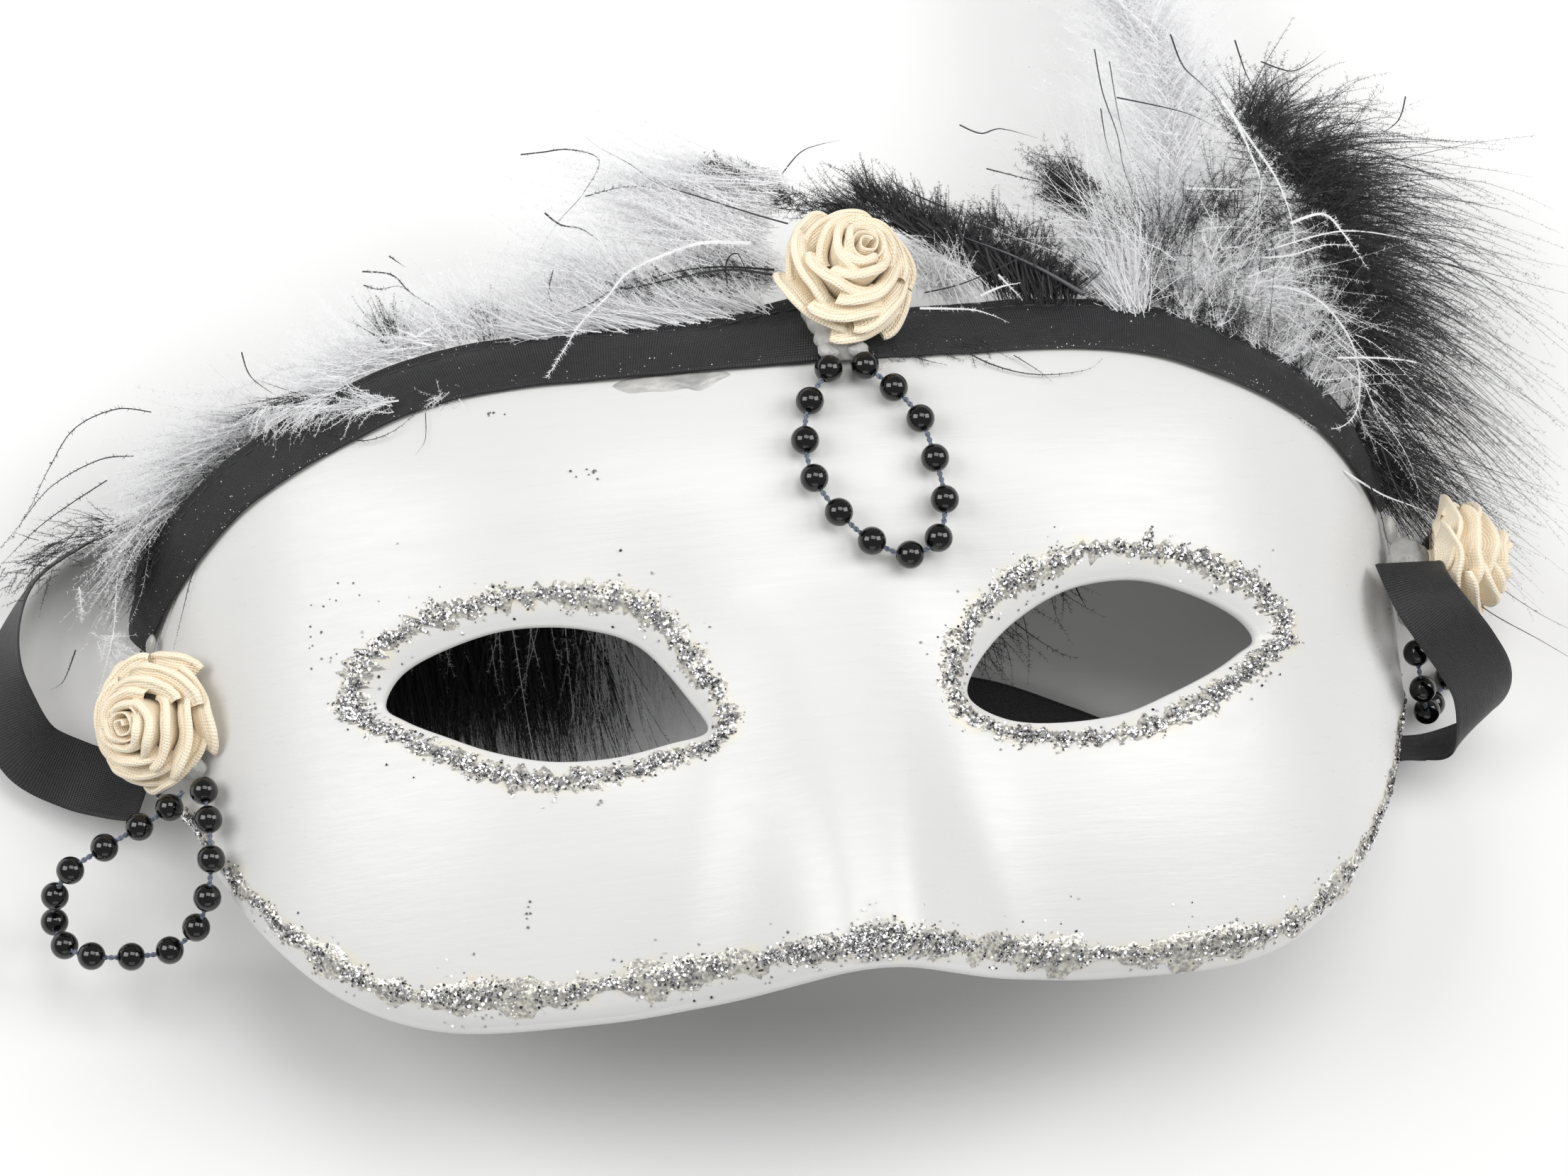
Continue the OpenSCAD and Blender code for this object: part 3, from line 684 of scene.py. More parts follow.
def glitter_band(name, node, runs, count, seed, outliers=0.05):
    """A lumpy bed of glue with flakes on it. Each run is (point function, i from, i to, start, width)."""
    spots, norms, bed, close = [], [], [], []
    for point, i0, i1, start, width in runs:
        i = np.arange(i0, i1 + 0.01, 0.12)
        w = np.clip(width(i) * (1 + 0.75 * band_noise(i, seed)), 0.7, None)
        mid = start(i) + width(i) / 2 + 0.9 * band_noise(i, seed + 9)
        c = np.linspace(-1, 1, 9)
        d = mid[:, None] + c[None] * w[:, None] / 2
        grid = np.stack(np.broadcast_arrays(i[:, None] * 2.2, d, 0 * d), axis=-1)
        h = 0.02 + (0.25 + 0.3 * np.abs(wobble(grid, 1.3, seed)).reshape(d.shape)) * (1 - c[None] ** 2)
        bed.append((point(np.repeat(i[:, None], 9, 1), d, h), grid_faces(len(i), 9)))
        m = int(count * (i1 - i0) / sum(r[2] - r[1] for r in runs))
        ii = rng.uniform(i0, i1, m)
        across = np.clip(rng.normal(0, 0.46, m), -1.35, 1.35)
        far = rng.random(m) < outliers
        across[far] = rng.normal(0, 1.3, far.sum())
        patch = np.interp(ii, i, band_noise(i * 1.7, seed + 20))
        stay = rng.random(m) < np.clip(0.75 + 1.6 * patch, 0.16, 1)
        ii, across, far, m = ii[stay], across[stay], far[stay], int(stay.sum())
        ww, mm = np.interp(ii, i, w), np.interp(ii, i, mid)
        dd = np.maximum(mm + across * ww / 2, 0.35)
        base = 0.3 * np.clip(1 - across ** 2, 0, 1)
        lift = np.where(far, 0.12, base + rng.uniform(0.08, 0.42, m) * np.clip(1.2 - np.abs(across), 0.2, 1))
        p = point(ii, dd, lift)
        du = point(ii + 0.05, dd, lift) - p
        dv = point(ii, dd + 0.2, lift) - p
        nn = unit(np.cross(du, dv))
        nn *= np.sign(nn[:, 2:3] + 1e-9)
        spots.append(p)
        norms.append(nn)
        close.append(p[~far & (np.abs(across) < 0.8)])
    v, f = join(bed)
    mesh_piece("glitter_bed_" + name, v, f, glitter_glue, "mask", "silver_glitter", stands_for=[node])
    p, n = np.concatenate(spots), np.concatenate(norms)
    flake_piece("glitter_flakes_" + name, flakes(p, n, 0.2, 0.45), flake_metal)
    return np.concatenate(close)


def eye_glitter(side, name, node, seed):
    def turn(i, upper, lower, corner):
        return np.interp(i % AROUND, [0, 5, 12, 26, 32, 38, 50, 56],
            [lower, corner, upper, upper, corner, lower, lower, lower])
    start = lambda i: turn(i, 2.6, 0.9, 1.4)
    width = lambda i: turn(i, 3.4, 2.7, 3.6)
    return glitter_band(name, node, [(lambda i, d, h: ray_point(side, i, d, h), 0, AROUND, start, width)], 8200,
        seed)


def steady(value):
    return lambda i: value + 0 * i


def edge_glitter():
    def run(side, first):
        start = (lambda i: np.interp(i, [first, 40, 48, 56], [0.3, 1.6, 2.4, 1.2])) if side == -1 else \
            (lambda i: np.interp(i, [first, 44, 50, 56], [0.2, 0.3, 0.6, 1.2]))
        width = lambda i: np.interp(i, [first, first + 3, 44, 50, 56], [1.6, 2.6, 3.6, 4.4, 3.6])
        return (lambda i, d, h: rim_point(side, i, d, h), first, AROUND, start, width)
    by_rose = (lambda i, d, h: rim_point(-1, i, d, h), 29.6, 33, steady(0.5), steady(2.2))
    floor_y = float(rim_point(1, np.array([56.0]), np.array([0.0]), np.array([0.0]))[0, 1])
    nose = (lambda i, d, h: on_shell(i, floor_y + d + 0.03 * i ** 2, h)[0], -3.6, 3.6,
            steady(1.4), steady(3.2))
    return glitter_band("lower_edge", "glitter_lower_edge", [run(1, 33), run(-1, 33), by_rose, nose], 17500,
        5.5)


glitter_spots = np.concatenate([eye_glitter(-1, "left_eye", "glitter_left_eye", 1.5),
                                eye_glitter(1, "right_eye", "glitter_right_eye", 3.5), edge_glitter()])
tint_near(shell, glitter_spots[::6], 1.9)


# ---- Satin trim along the forehead ----

TRIM_HALF, TRIM_AROUND = 4.65, 64


def make_trim(name, side, first, last, rise, flare):
    """Ribbon along the rays first to last, puckered, lifted by rise at its first end and flared out."""
    half = TRIM_HALF
    steps = int((last - first) * 16) + 1
    i = np.linspace(first, last, steps)
    around = np.linspace(0, 2 * math.pi, TRIM_AROUND + 1)[:-1]
    across = half * np.sign(np.cos(around)) * np.abs(np.cos(around)) ** 0.45
    edge = np.exp(-((np.abs(across) - half + 0.4) / 0.45) ** 2)
    stitch = np.exp(-((across - half + 1.7) / 0.22) ** 2)
    thick = 0.32 + 0.16 * edge - 0.14 * stitch
    near = rise * np.exp(-((i - 12) / 0.9) ** 2)
    up = (across[None] / half + 1) / 2
    d = half - 1.0 - across[None] - 4.2 * near[:, None] * up
    ii = np.repeat(i[:, None], TRIM_AROUND, axis=1)
    flat = rim_point(side, ii, d, 0.0)
    pucker = wobble(flat * [1, 1, 0.4], 6, 2.5).reshape(ii.shape) * 0.3
    pucker = pucker + wobble(flat, 2.4, 6.5).reshape(ii.shape) * 0.12
    lift = 0.78 + pucker + thick[None] * np.sin(around)[None] + 0.5 * near[:, None] * (1 + np.cos(around)[None])
    v = rim_point(side, ii, d, lift)
    inner = rim_point(side, ii, 2 * half - 1 + 0 * d, lift)
    out = unit(v[..., :2] - inner[..., :2] + 1e-6)
    reach = np.linalg.norm(v - inner, axis=-1)[..., None]
    open_out = inner + reach * np.concatenate([out * 0.9, -0.4 + 0 * reach], axis=-1)
    v[..., 0] += -side * rise * np.exp(-((ii - 12) / 0.7) ** 2) * (3.5 + 6 * (1 - up))
    share = (flare * np.clip((ii - 17) / 9, 0, 1) ** 1.5)[..., None]
    v = v * (1 - share) + open_out * share
    along = distances(v[:, TRIM_AROUND // 4])
    faces = np.concatenate([grid_faces(steps, TRIM_AROUND, close_cols=True), lid(0, TRIM_AROUND),
                            lid(steps - 1, TRIM_AROUND)])
    mesh_piece("satin_trim_" + name, v, faces, black_satin, "mask", "black_satin",
               uv=weave_uv(along, across, around, 30), stands_for=["trim_ribbon_" + name])
    top = np.argmin(np.abs(around - math.acos(((half - 1.7) / half) ** (1 / 0.45))))
    row = v[:, top]
    stitches = []
    at, k = 1.0, 0
    while at < along[-1] - 3:
        ends = np.array([[np.interp(at + s, along, row[:, c]) for c in range(3)] for s in (0, 0.55, 1.1, 1.65,
            2.2)])
        ends[:, 2] += [-0.02, 0.1, 0.14, 0.1, -0.02]
        a, b = sides_along(ends)
        w = np.array([0.06, 0.13, 0.14, 0.13, 0.06])[:, None, None]
        stitches.append((ends[:, None] + w * circles(a, b, 6), grid_faces(5, 6, close_cols=True)))
        at += 2.2 + 0.75 + 0.2 * math.sin(k * 2.3)
        k += 1
    mesh_piece("running_stitch_" + name, *join(stitches), stitch_thread, "mask", "thread")
    return v


stitch_thread = new_material("black_stitch_thread", (0.01, 0.01, 0.012), 0.6, sheen_weight=0.2)
to_shader(stitch_thread, base_color=mottled(stitch_thread, 4000.0,
    [(0.3, (0.004, 0.004, 0.005)), (0.7, (0.03, 0.03, 0.034))]))
trim_left = make_trim("left", -1, 12.02, 30.3, 1.0, 0.75)
trim_right = make_trim("right", 1, 12.35, 28.2, 0.2, 0.15)


def dust(name, v, count):
    """Lint and specks of glitter on a ribbon."""
    p = v[:, 4:28].reshape(-1, 3)
    pick = p[rng.integers(0, len(p), count)] + rng.normal(0, 0.12, (count, 3)) * [1, 1, 0] + [0, 0, 0.05]
    up = np.tile([0, 0, 1.0], (count, 1))
    flake_piece(name, flakes(pick, up, rng.uniform(0.05, 0.1, (count, 1, 1)), 0.4), dust_white)


dust_white = new_material("dust_specks", (0.5, 0.5, 0.5), 0.5)
to_shader(dust_white, base_color=by_island(dust_white, [(0.2, grey(0.12)), (0.9, grey(0.75))]))
dust("dust_on_left_trim", trim_left, 420)
dust("dust_on_right_trim", trim_right, 320)


# ---- Hot glue and stray specks ----

clear_glue = new_material("clear_hot_glue", (0.74, 0.73, 0.69), 0.22, transmission_weight=0.35, ior=1.48)
to_shader(clear_glue, base_color=mottled(clear_glue, 260.0,
    [(0.3, (0.5, 0.5, 0.49)), (0.7, (0.82, 0.81, 0.77))]),
          roughness=mottled(clear_glue, 500.0, [(0.3, grey(0.12)), (0.7, grey(0.4))], 2.0),
          normal=bump(clear_glue, noise_node(clear_glue, place(clear_glue), 420.0, 3.0), 0.5, 0.0004))


def lump(at, radii, axis, seed):
    """A blob of glue squashed along its axis."""
    lat, lon = np.linspace(0.02, math.pi - 0.02, 26)[:, None], np.linspace(0, 2 * math.pi, 41)[None, :-1]
    v = np.stack([np.sin(lat) * np.cos(lon), np.sin(lat) * np.sin(lon), np.cos(lat) + 0 * lon], axis=-1)
    rough = 0.22
    v = v * (1 + rough * wobble(v, 0.9, seed) + 0.4 * rough * wobble(v, 0.35, seed + 3)).reshape(26, 40,
        1) * radii
    n = unit(axis)
    a = unit(np.cross(n, [0.3, 0.9, 0.2]))
    b = np.cross(n, a)
    return np.asarray(at) + v[..., :1] * a + v[..., 1:2] * b + v[..., 2:] * n, grid_faces(26, 40,
        close_cols=True)


def smear(side, i0, i1, d0, d1, thick, seed):
    """A thin spread of glue on the shell between two rays and two distances from its rim."""
    i, c = np.linspace(i0, i1, 60)[:, None], np.linspace(-1, 1, 21)[None]
    lobes = np.array([noise.noise(Vector((k * 2.1, seed, 0))) for k in i.ravel()])[:, None]
    ends = np.clip(1 - np.abs(np.linspace(-1, 1, 60))[:, None] ** 6, 0.02, 1)
    d = (d0 + d1) / 2 + lobes * 1.2 + c * (d1 - d0) / 2 * ends * (1 + 0.6 * lobes)
    ii = i + 0 * d
    bumps = wobble(np.stack([ii * 4, d * 1.2, 0 * d], axis=-1), 1.1, seed).reshape(d.shape)
    h = 0.06 + thick * (1 - c ** 2) * ends * (0.7 + 0.5 * bumps)
    return rim_point(side, ii, d, h), grid_faces(60, 21)


def glue_piece(name, parts, stands_for):
    mesh_piece(name, *join(parts), clear_glue, "mask", "hot_glue", stands_for=stands_for)


glue_piece("glue_under_center_rose", [
    lump([6.6, 48.6, 46], (5.2, 4.6, 3.4), [0.2, 0.2, 1], 1.0),
        lump([6.2, 44.4, 48.8], (3.6, 2.4, 1.7), [0.1, 0.3, 1], 2.0),
    lump([4.2, 43, 50.2], (1.5, 1.2, 1.0), [0, 0.3, 1], 3.0),
        lump([8.4, 43, 50.4], (1.5, 1.2, 1.0), [0, 0.3, 1], 4.0),
    smear(-1, 12.6, 14.6, 7.8, 10.4, 0.5, 5.0), smear(1, 12.3, 13.3, 7.6, 9.8, 0.5, 6.0)], ["glue_center"])
glue_piece("glue_under_left_rose", [
    lump([-88.6, 1.6, 19], (4.6, 4.2, 3.2), [-0.6, -0.1, 0.8], 7.0),
        lump([-88, -3.6, 21.4], (2.2, 2.0, 1.5), [-0.6, -0.1, 0.8], 8.0),
    lump([-91.6, 15.5, 13.2], (0.9, 1.5, 0.5), [-0.8, 0, 0.6], 9.0)], ["glue_left"])
glue_piece("glue_under_right_rose", [
    lump([92.2, 11.8, 17], (4.4, 4.2, 3.4), [1, -0.1, 0.2], 10.0),
        lump([92.2, 5.4, 14.6], (2.6, 2.4, 2.0), [0.9, -0.1, 0.4], 11.0),
    lump([90.4, 17.6, 15.6], (1.2, 2.2, 0.9), [0.9, 0, 0.4], 12.0)], ["glue_right"])

speck_grey = new_material("grey_specks", (0.16, 0.16, 0.165), 0.35, metallic=0.6)
speck_at = np.concatenate([np.array(c) + rng.normal(0, 1, (n, 2)) * w for c, n, w in
                           (((-43, 39), 6, (0.9, 0.2)), ((-31.5, 28.4), 9, (1.1, 0.7)),
                           ((-45, -31.6), 6, (0.3, 0.9)),
                            ((-70, 9), 9, (0.9, 3.0)), ((-66, 17), 6, (1.6, 1.2)))])
speck_p, speck_n = on_shell(speck_at[:, 0], speck_at[:, 1], 0.12)
flake_piece("stray_specks", flakes(speck_p, speck_n, 0.17, 0.2), speck_grey)


# ---- Ribbon roses ----

cream_satin = satin("cream_satin_weave", (0.98, 0.83, 0.6), (1.0, 0.95, 0.83), 0.5, 0.5, 0.2)


def bezier(a, b, c, u):
    return (1 - u) ** 2 * a + 2 * u * (1 - u) * b + u ** 2 * c


def petal(angle, width, radius, height, low, seed):
    """A folded edge of ribbon: up from the bud, over a soft crest and down on the outside."""
    u = np.linspace(-1, 1, 31)[:, None]
    bulge = np.cos(np.radians(width)) / np.cos(np.radians(width) * u)
    r = radius * (0.68 + 0.32 * bulge) * (1 - 0.04 * u) - 0.7 * u
    r = r - 1.3 * np.abs(u) ** 7
    h = height - 1.7 * np.abs(u) ** 2.4 - 0.25 * np.cos(u * 5 + seed)
    inner, base = low + 0.3 * (r - low), 0.3
    s = np.linspace(0, 1, 12)[None]
    up_r, up_z = bezier(inner, inner + 0.12 * (r - inner), r, s), bezier(base, h * 1.02, h, s)
    q = np.linspace(0.35, math.pi - 0.2, 7)[None]
    crest_r, crest_z = r + 0.45 - 0.45 * np.cos(q), h - 0.05 + 0.36 * np.sin(q) - 0.2 * (1 - np.cos(q))
    e = s[:, 1:]
    down_r = bezier(r + 0.88, inner + 0.45 * (r - inner) + 0.7, inner + 0.7, e)
    down_z = bezier(h - 0.45, h * 0.75, base - 0.2, e)
    rr = np.concatenate([up_r, crest_r + 0 * u, down_r], axis=1)
    zz = np.concatenate([up_z, crest_z + 0 * u, down_z], axis=1)
    a = np.radians(angle + width * u) + 0 * rr
    v = np.stack([rr * np.cos(a), rr * np.sin(a), zz], axis=-1)
    along = np.broadcast_to(np.radians(width) * u * radius + 40 * seed, rr.shape)
    step = np.cumsum(np.hypot(np.diff(rr, axis=1), np.diff(zz, axis=1)), axis=1)
    step = np.concatenate([np.zeros((31, 1)), step], axis=1)
    return v, grid_faces(*rr.shape), np.stack([along, step], axis=-1)


def bud(radius, height, turns):
    """The rolled middle of a rose."""
    n = int(turns * 40)
    a = np.linspace(0, 2 * math.pi * turns, n)[:, None]
    r = 0.35 + (radius - 0.35) * (a / a.max()) ** 0.9
    w = 0.16
    profile = np.array([[-w, 0], [-w, height * 0.5], [-w, height - 0.2], [-w * 0.6, height],
                        [w * 0.6, height + 0.02], [w, height - 0.25], [w, height * 0.5], [w, 0]])
    lean = 0.5 * (profile[:, 1] / height) ** 4
    rr = r + profile[None, :, 0] + lean * (0.3 + a / a.max())
    zz = profile[None, :, 1] - 0.5 * (a / a.max()) + 0.12 * np.sin(3 * a)
    v = np.stack([rr * np.cos(a), rr * np.sin(a), zz + 0 * rr], axis=-1)
    uv = np.stack(np.broadcast_arrays(a * r, profile[None, :, 1] + 5), axis=-1)
    return v, grid_faces(n, len(profile)), uv


# How many petals, their radius, height, lowest radius and half angle, from the bud outwards
PETALS = [(3, 3.2, 9.4, 1.6, 78), (3, 4.9, 9.0, 2.2, 80), (4, 6.9, 7.6, 2.8, 64), (5, 8.7, 5.6, 3.4, 52),
          (5, 9.7, 3.2, 3.8, 48)]


def make_rose(name, at, axis, roll, offset, seed, tall=1.0):
    parts = [bud(2.5, 9.3, 2.6)]
    k = 0
    for count, radius, height, low, width in PETALS:
        for j in range(count):
            wob = 0.5 * math.sin(seed * 3.1 + k * 1.7)
            angle = roll + 360 / count * j + 31 * k / count + 8 * wob
            parts.append(petal(angle, width * (1 + 0.06 * wob), radius + 0.3 * wob,
                               height + 0.35 * wob, low, k + seed))
            k += 1
    verts, faces, uvs, start = [], [], [], 0
    n = unit(axis)
    a = unit(np.cross([0, 1, 0.1], n))
    b = np.cross(n, a)
    for v, f, uv in parts:
        v = v.reshape(-1, 3)
        shift = np.clip(1 - np.hypot(v[:, 0], v[:, 1]) / 10.5, 0, 1) ** 0.8 * (v[:, 2] / 9.5)
        v = v + np.outer(shift, [offset[0], offset[1], 0])
        v = v + 0.14 * np.stack([wobble(v, 3.1, seed), wobble(v, 3.1, seed + 5), wobble(v, 2.6, seed + 9)],
            axis=1)
        verts.append(np.asarray(at) + v[:, :1] * a + v[:, 1:2] * b + tall * v[:, 2:] * n)
        faces.append(f + start)
        uvs.append(uv.reshape(-1, 2))
        start += len(v)
    mesh_piece("ribbon_rose_" + name, np.concatenate(verts), np.concatenate(faces), cream_satin, "mask",
               "cream_satin", uv=np.concatenate(uvs), stands_for=["rose_" + name])


make_rose("center", [7.5, 53.3, 47.6], [0.2, 0.19, 0.96], 250, (1.6, 2.6), 1.0)
make_rose("left", [-90.6, 3.8, 18.4], [-0.62, -0.1, 0.78], 200, (-1.8, -0.6), 2.0)
make_rose("right", [95.4, 11.5, 17.5], [0.98, -0.1, 0.17], 100, (0.6, 0.4), 3.0, 1.22)


# ---- Feathers ----

def curves(starts, ways, reach, bend, curl):
    """Barbs as curves: straight on along their way, bent over by bend and waved a little at random."""
    n = len(starts)
    t = np.linspace(0, 1, 9)[None, :, None]
    way, bend = unit(ways), np.broadcast_to(np.asarray(bend, float), (n, 3))
    hook = rng.normal(size=(n, 3)) * curl
    wave = rng.normal(size=(n, 3)) * curl * 0.35
    shape = t * way[:, None] + t ** 2 * (bend + hook)[:, None] + np.sin(t * 6.3) * wave[:, None] * 0.5
    return starts[:, None] + reach[:, None, None] * shape


def down(p, width, fuzz, per, lay=0.5, foot_w=0.04):
    """Triangles of barbs along the curves p, each with rows of barbules on both sides."""
    n, k = p.shape[:2]
    t = unit(np.gradient(p, axis=1))
    a = unit(np.cross(t, np.array([0, 0, 1.0]) + lay * rng.normal(size=(n, 1, 3))))
    w = width * np.maximum(1 - np.linspace(0, 1, k) ** 1.6, 0.12)[None, :, None] / 2
    v = np.stack([p - a * w, p + a * w], axis=2).reshape(-1, 3)
    row = (np.arange(n)[:, None] * 2 * k + 2 * np.arange(k - 1)[None]).reshape(-1, 1)
    faces = np.concatenate([row + [0, 1, 3], row + [0, 3, 2]])
    if per:
        u = rng.uniform(0.03, 1, (n, per))
        f = u * (k - 1)
        j = np.minimum(f.astype(int), k - 2)
        g = (f - j)[..., None]
        pick = np.arange(n)[:, None]
        base = p[pick, j] * (1 - g) + p[pick, j + 1] * g
        along = t[pick, j]
        out = a[pick, j] * rng.choice([-1, 1], (n, per, 1)) + 0.45 * rng.normal(size=(n, per, 3))
        out = out + 0.75 * along
        size = fuzz * (1.05 - 0.6 * u) * rng.uniform(0.5, 1.15, (n, per))
        foot = foot_w * along
        tri = np.stack([base - foot, base + foot, base + size[..., None] * unit(out)], axis=2).reshape(-1, 3)
        faces = np.concatenate([faces, len(v) + np.arange(len(tri)).reshape(-1, 3)])
        v = np.concatenate([v, tri])
    v[:, 2] = np.maximum(v[:, 2], 0.15)
    return v, faces


def spray(spine, aims, reach, bend, count, width=0.1, fuzz=1.0, per=26, spread=0.16, scatter=0.5, curl=0.12):
    """Barbs that leave a line of points in the directions given along it."""
    spine, aims = np.array(spine, float), np.array(aims, float)
    s = rng.random(count)
    at = lambda values: np.stack([np.interp(s, np.linspace(0, 1, len(values)), values[:, c])
                                  for c in range(3)], axis=1)
    ways = unit(at(aims)) + spread * rng.normal(size=(count, 3)) * [1, 1, 0.7]
    long = np.interp(s, np.linspace(0, 1, len(reach)), reach) * rng.uniform(0.45, 1.1, count)
    starts = at(spine) + scatter * rng.normal(size=(count, 3))
    return down(curves(starts, ways, long, bend, curl), width, fuzz, per)


def tufts(roots, aims, reach, count, fuzz):
    """Small clumps of down, each curling its own way."""
    aside = lambda a, k: 0.45 * np.array([a[1], -a[0], 0]) * (-1) ** k
    return join([spray([r, r], [a, a], [reach, reach], aside(a, k), count, 0.11, fuzz, 36, 0.45, 0.9, 0.3)
                 for k, (r, a) in enumerate(zip(roots, aims))])


def hair(points, width=0.16, fuzz=0.7, per=60):
    """One long barb through the points."""
    p = even_steps(np.array(points, float), 0.7)
    return down(p[None], width * 1.25, fuzz, per, 0.2, 0.06)


def shaft(points, d):
    """A round quill that tapers to its tip."""
    p = even_steps(np.array(points, float), 0.6)
    a, b = sides_along(p)
    r = d / 2 * np.linspace(1, 0.15, len(p))[:, None, None]
    v = p[:, None] + r * circles(a, b, 8)
    q = grid_faces(len(p), 8, close_cols=True)
    return v.reshape(-1, 3), np.concatenate([q[:, :3], q[:, [0, 2, 3]]])


def over(points, lift=0.8):
    """Points given as (x, y), laid on the shell."""
    p = np.array(points, float)
    return on_shell(p[:, 0], p[:, 1], lift)[0]


def feathers(name, material, slot, parts, stands_for=()):
    mesh_piece(name, *join(parts), material, "mask", slot, smooth=False, stands_for=stands_for)


black_down = new_material("black_down", (0.012, 0.012, 0.014), 0.6, sheen_weight=0.1)
white_down = new_material("white_down", (0.8, 0.8, 0.81), 0.7, sheen_weight=0.2)
quill_grey = new_material("grey_quill", (0.1, 0.1, 0.11), 0.35)
pale_down = new_material("pale_down", (0.88, 0.88, 0.89), 0.8, sheen_weight=0.2)


# Behind the left trim, from the tie up to the forehead
feathers("white_down_left_side", white_down, "white_feather", [
    spray([(-89, 32, 17), (-82, 38, 22), (-73, 44, 28)], [(-0.9, -0.3, -0.05), (-1, 0.1, 0), (-1, 0.35, 0)],
        [9, 15, 16], (0, -0.22, -0.05), 420, fuzz=1.3, per=34, spread=0.2),
    spray([(-84, 37, 22), (-72, 45, 29)], [(-0.8, 0.5, -0.2), (-0.8, 0.7, -0.2)], [9, 12], (-0.1, 0, -0.1), 160,
        fuzz=1.5, per=30, spread=0.3),
    spray([(-93, 30, 15), (-88, 36, 19)], [(-0.6, -1, -0.1), (-0.8, -0.7, 0)], [12, 14], (-0.1, -0.1, -0.05),
        90, fuzz=1.2, per=34),
    hair([(-66, 52, 25), (-70, 52, 24), (-77, 50, 22), (-83, 50, 21), (-88, 51, 20), (-92, 52, 20)], 0.2, 1.6,
        170),
    hair([(-86, 37, 23), (-91, 33, 20), (-95, 28, 17), (-97, 17, 16), (-100, 8, 20)], 0.18, 1.2, 130),
    hair([(-101, 25, 12), (-101, 22, 13), (-101, 20, 12)], 0.2, 1.3, 90),
    spray([(-99, 18, 12), (-96, 14, 14)], [(1, -0.4, 0.1), (0.8, -0.6, 0.1)], [4, 6], (0, 0, 0), 40, fuzz=1.0,
        spread=0.5),
], ["feathers_left_side"])
feathers("black_down_left_side", black_down, "black_feather", [
    spray([(-95, 33, 15), (-102, 31, 14), (-110, 26, 13)], [(-1, 0.1, 0), (-0.9, -0.1, 0), (-0.7, -0.7, 0)],
        [6, 6, 3], (0, -0.1, 0), 150, fuzz=0.7, per=16, spread=0.4, scatter=1.2),
    spray([(-90, 30, 16), (-80, 38, 22), (-72, 44, 27)], [(-1, -0.35, 0), (-1, -0.1, 0), (-1, 0, 0)],
        [10, 12, 11], (0, -0.2, 0), 170, fuzz=0.8, per=20, spread=0.25),
    spray([(-92, 26, 14), (-88, 32, 18)], [(-0.6, -1, 0.1), (-0.9, -0.6, 0)], [9, 8], (0, -0.1, 0), 150,
        fuzz=0.9, per=22, spread=0.3, scatter=1.2),
    spray([(-73, 45, 29.5), (-64, 46.5, 32)], [(-1, -0.25, 0), (-1, -0.1, 0)], [8, 9], (0, -0.1, 0), 80,
        fuzz=0.7, per=16, spread=0.2),
    hair([(-89, 48, 20), (-94, 49, 19), (-100, 47, 17), (-104, 42, 14), (-107, 37, 12), (-110, 33, 10)], 0.16,
        0.9, 110),
    hair([(-92, 42, 19), (-97, 42, 18), (-104, 39, 16), (-109, 34, 14), (-113, 30, 12)], 0.14, 0.7, 90),
    hair([(-96, 39, 18), (-102, 36, 16), (-107, 33, 14), (-114, 27, 12)], 0.14, 0.7, 80),
    hair([(-76, 54, 28), (-75, 50, 29), (-71, 46, 31)], 0.16, 0.3, 30),
    hair([(-102, 17, 6), (-104, 13, 4), (-106, 12, 3)], 0.16, 0.4, 20),
])

# Along the top of the left trim
feathers("white_down_left_top", pale_down, "white_feather", [
    spray([(-67, 46, 32), (-54, 50, 36), (-40, 52, 39)], [(-0.9, 0.6, -0.3), (-0.6, 1, -0.4), (-0.3, 1, -0.4)],
        [9, 12, 12], (-0.1, 0.05, -0.15), 560, fuzz=1.5, per=34, spread=0.3),
    spray([(-62, 48, 34), (-48, 51.5, 38)], [(-1, 0.25, 0), (-1, 0.2, 0)], [8, 9], (-0.1, -0.1, 0), 130, 0.12,
        0.8, 26, 0.2),
    spray([(-50, 51, 37), (-35, 53, 40)], [(-0.8, 0.6, -0.2), (-0.6, 0.9, -0.3)], [9, 10], (-0.2, 0.1, -0.1),
        160, fuzz=1.2, per=30, spread=0.3),
], ["feathers_left_top"])
feathers("black_tufts_left_top", black_down, "black_feather", [
    spray([(-56, 52, 35), (-54.5, 51, 35)], [(-0.2, 1, -0.1), (0.25, 1, -0.1)], [8, 7], (-0.1, 0, 0), 70, 0.14,
        0.8, 22, 0.28, 0.5, 0.1),
    spray([(-42, 51, 38), (-41, 52, 38)], [(-0.2, 1, 0), (0.1, 1, 0)], [5, 5], (0, 0, 0), 50, 0.14, 0.8, 20,
        0.35, 0.5, 0.1),
    hair([(-58, 64, 30), (-54, 63, 31), (-52, 60, 33), (-50, 58, 34), (-47, 55, 36), (-46, 51, 37)], 0.2, 0.6,
        60),
    hair([(-58, 62, 30), (-56, 61, 31), (-53, 61, 32), (-51, 59, 33)], 0.16, 0.6, 40),
    hair([(-54, 66, 30), (-52, 64, 31)], 0.16, 0.4, 16),
])

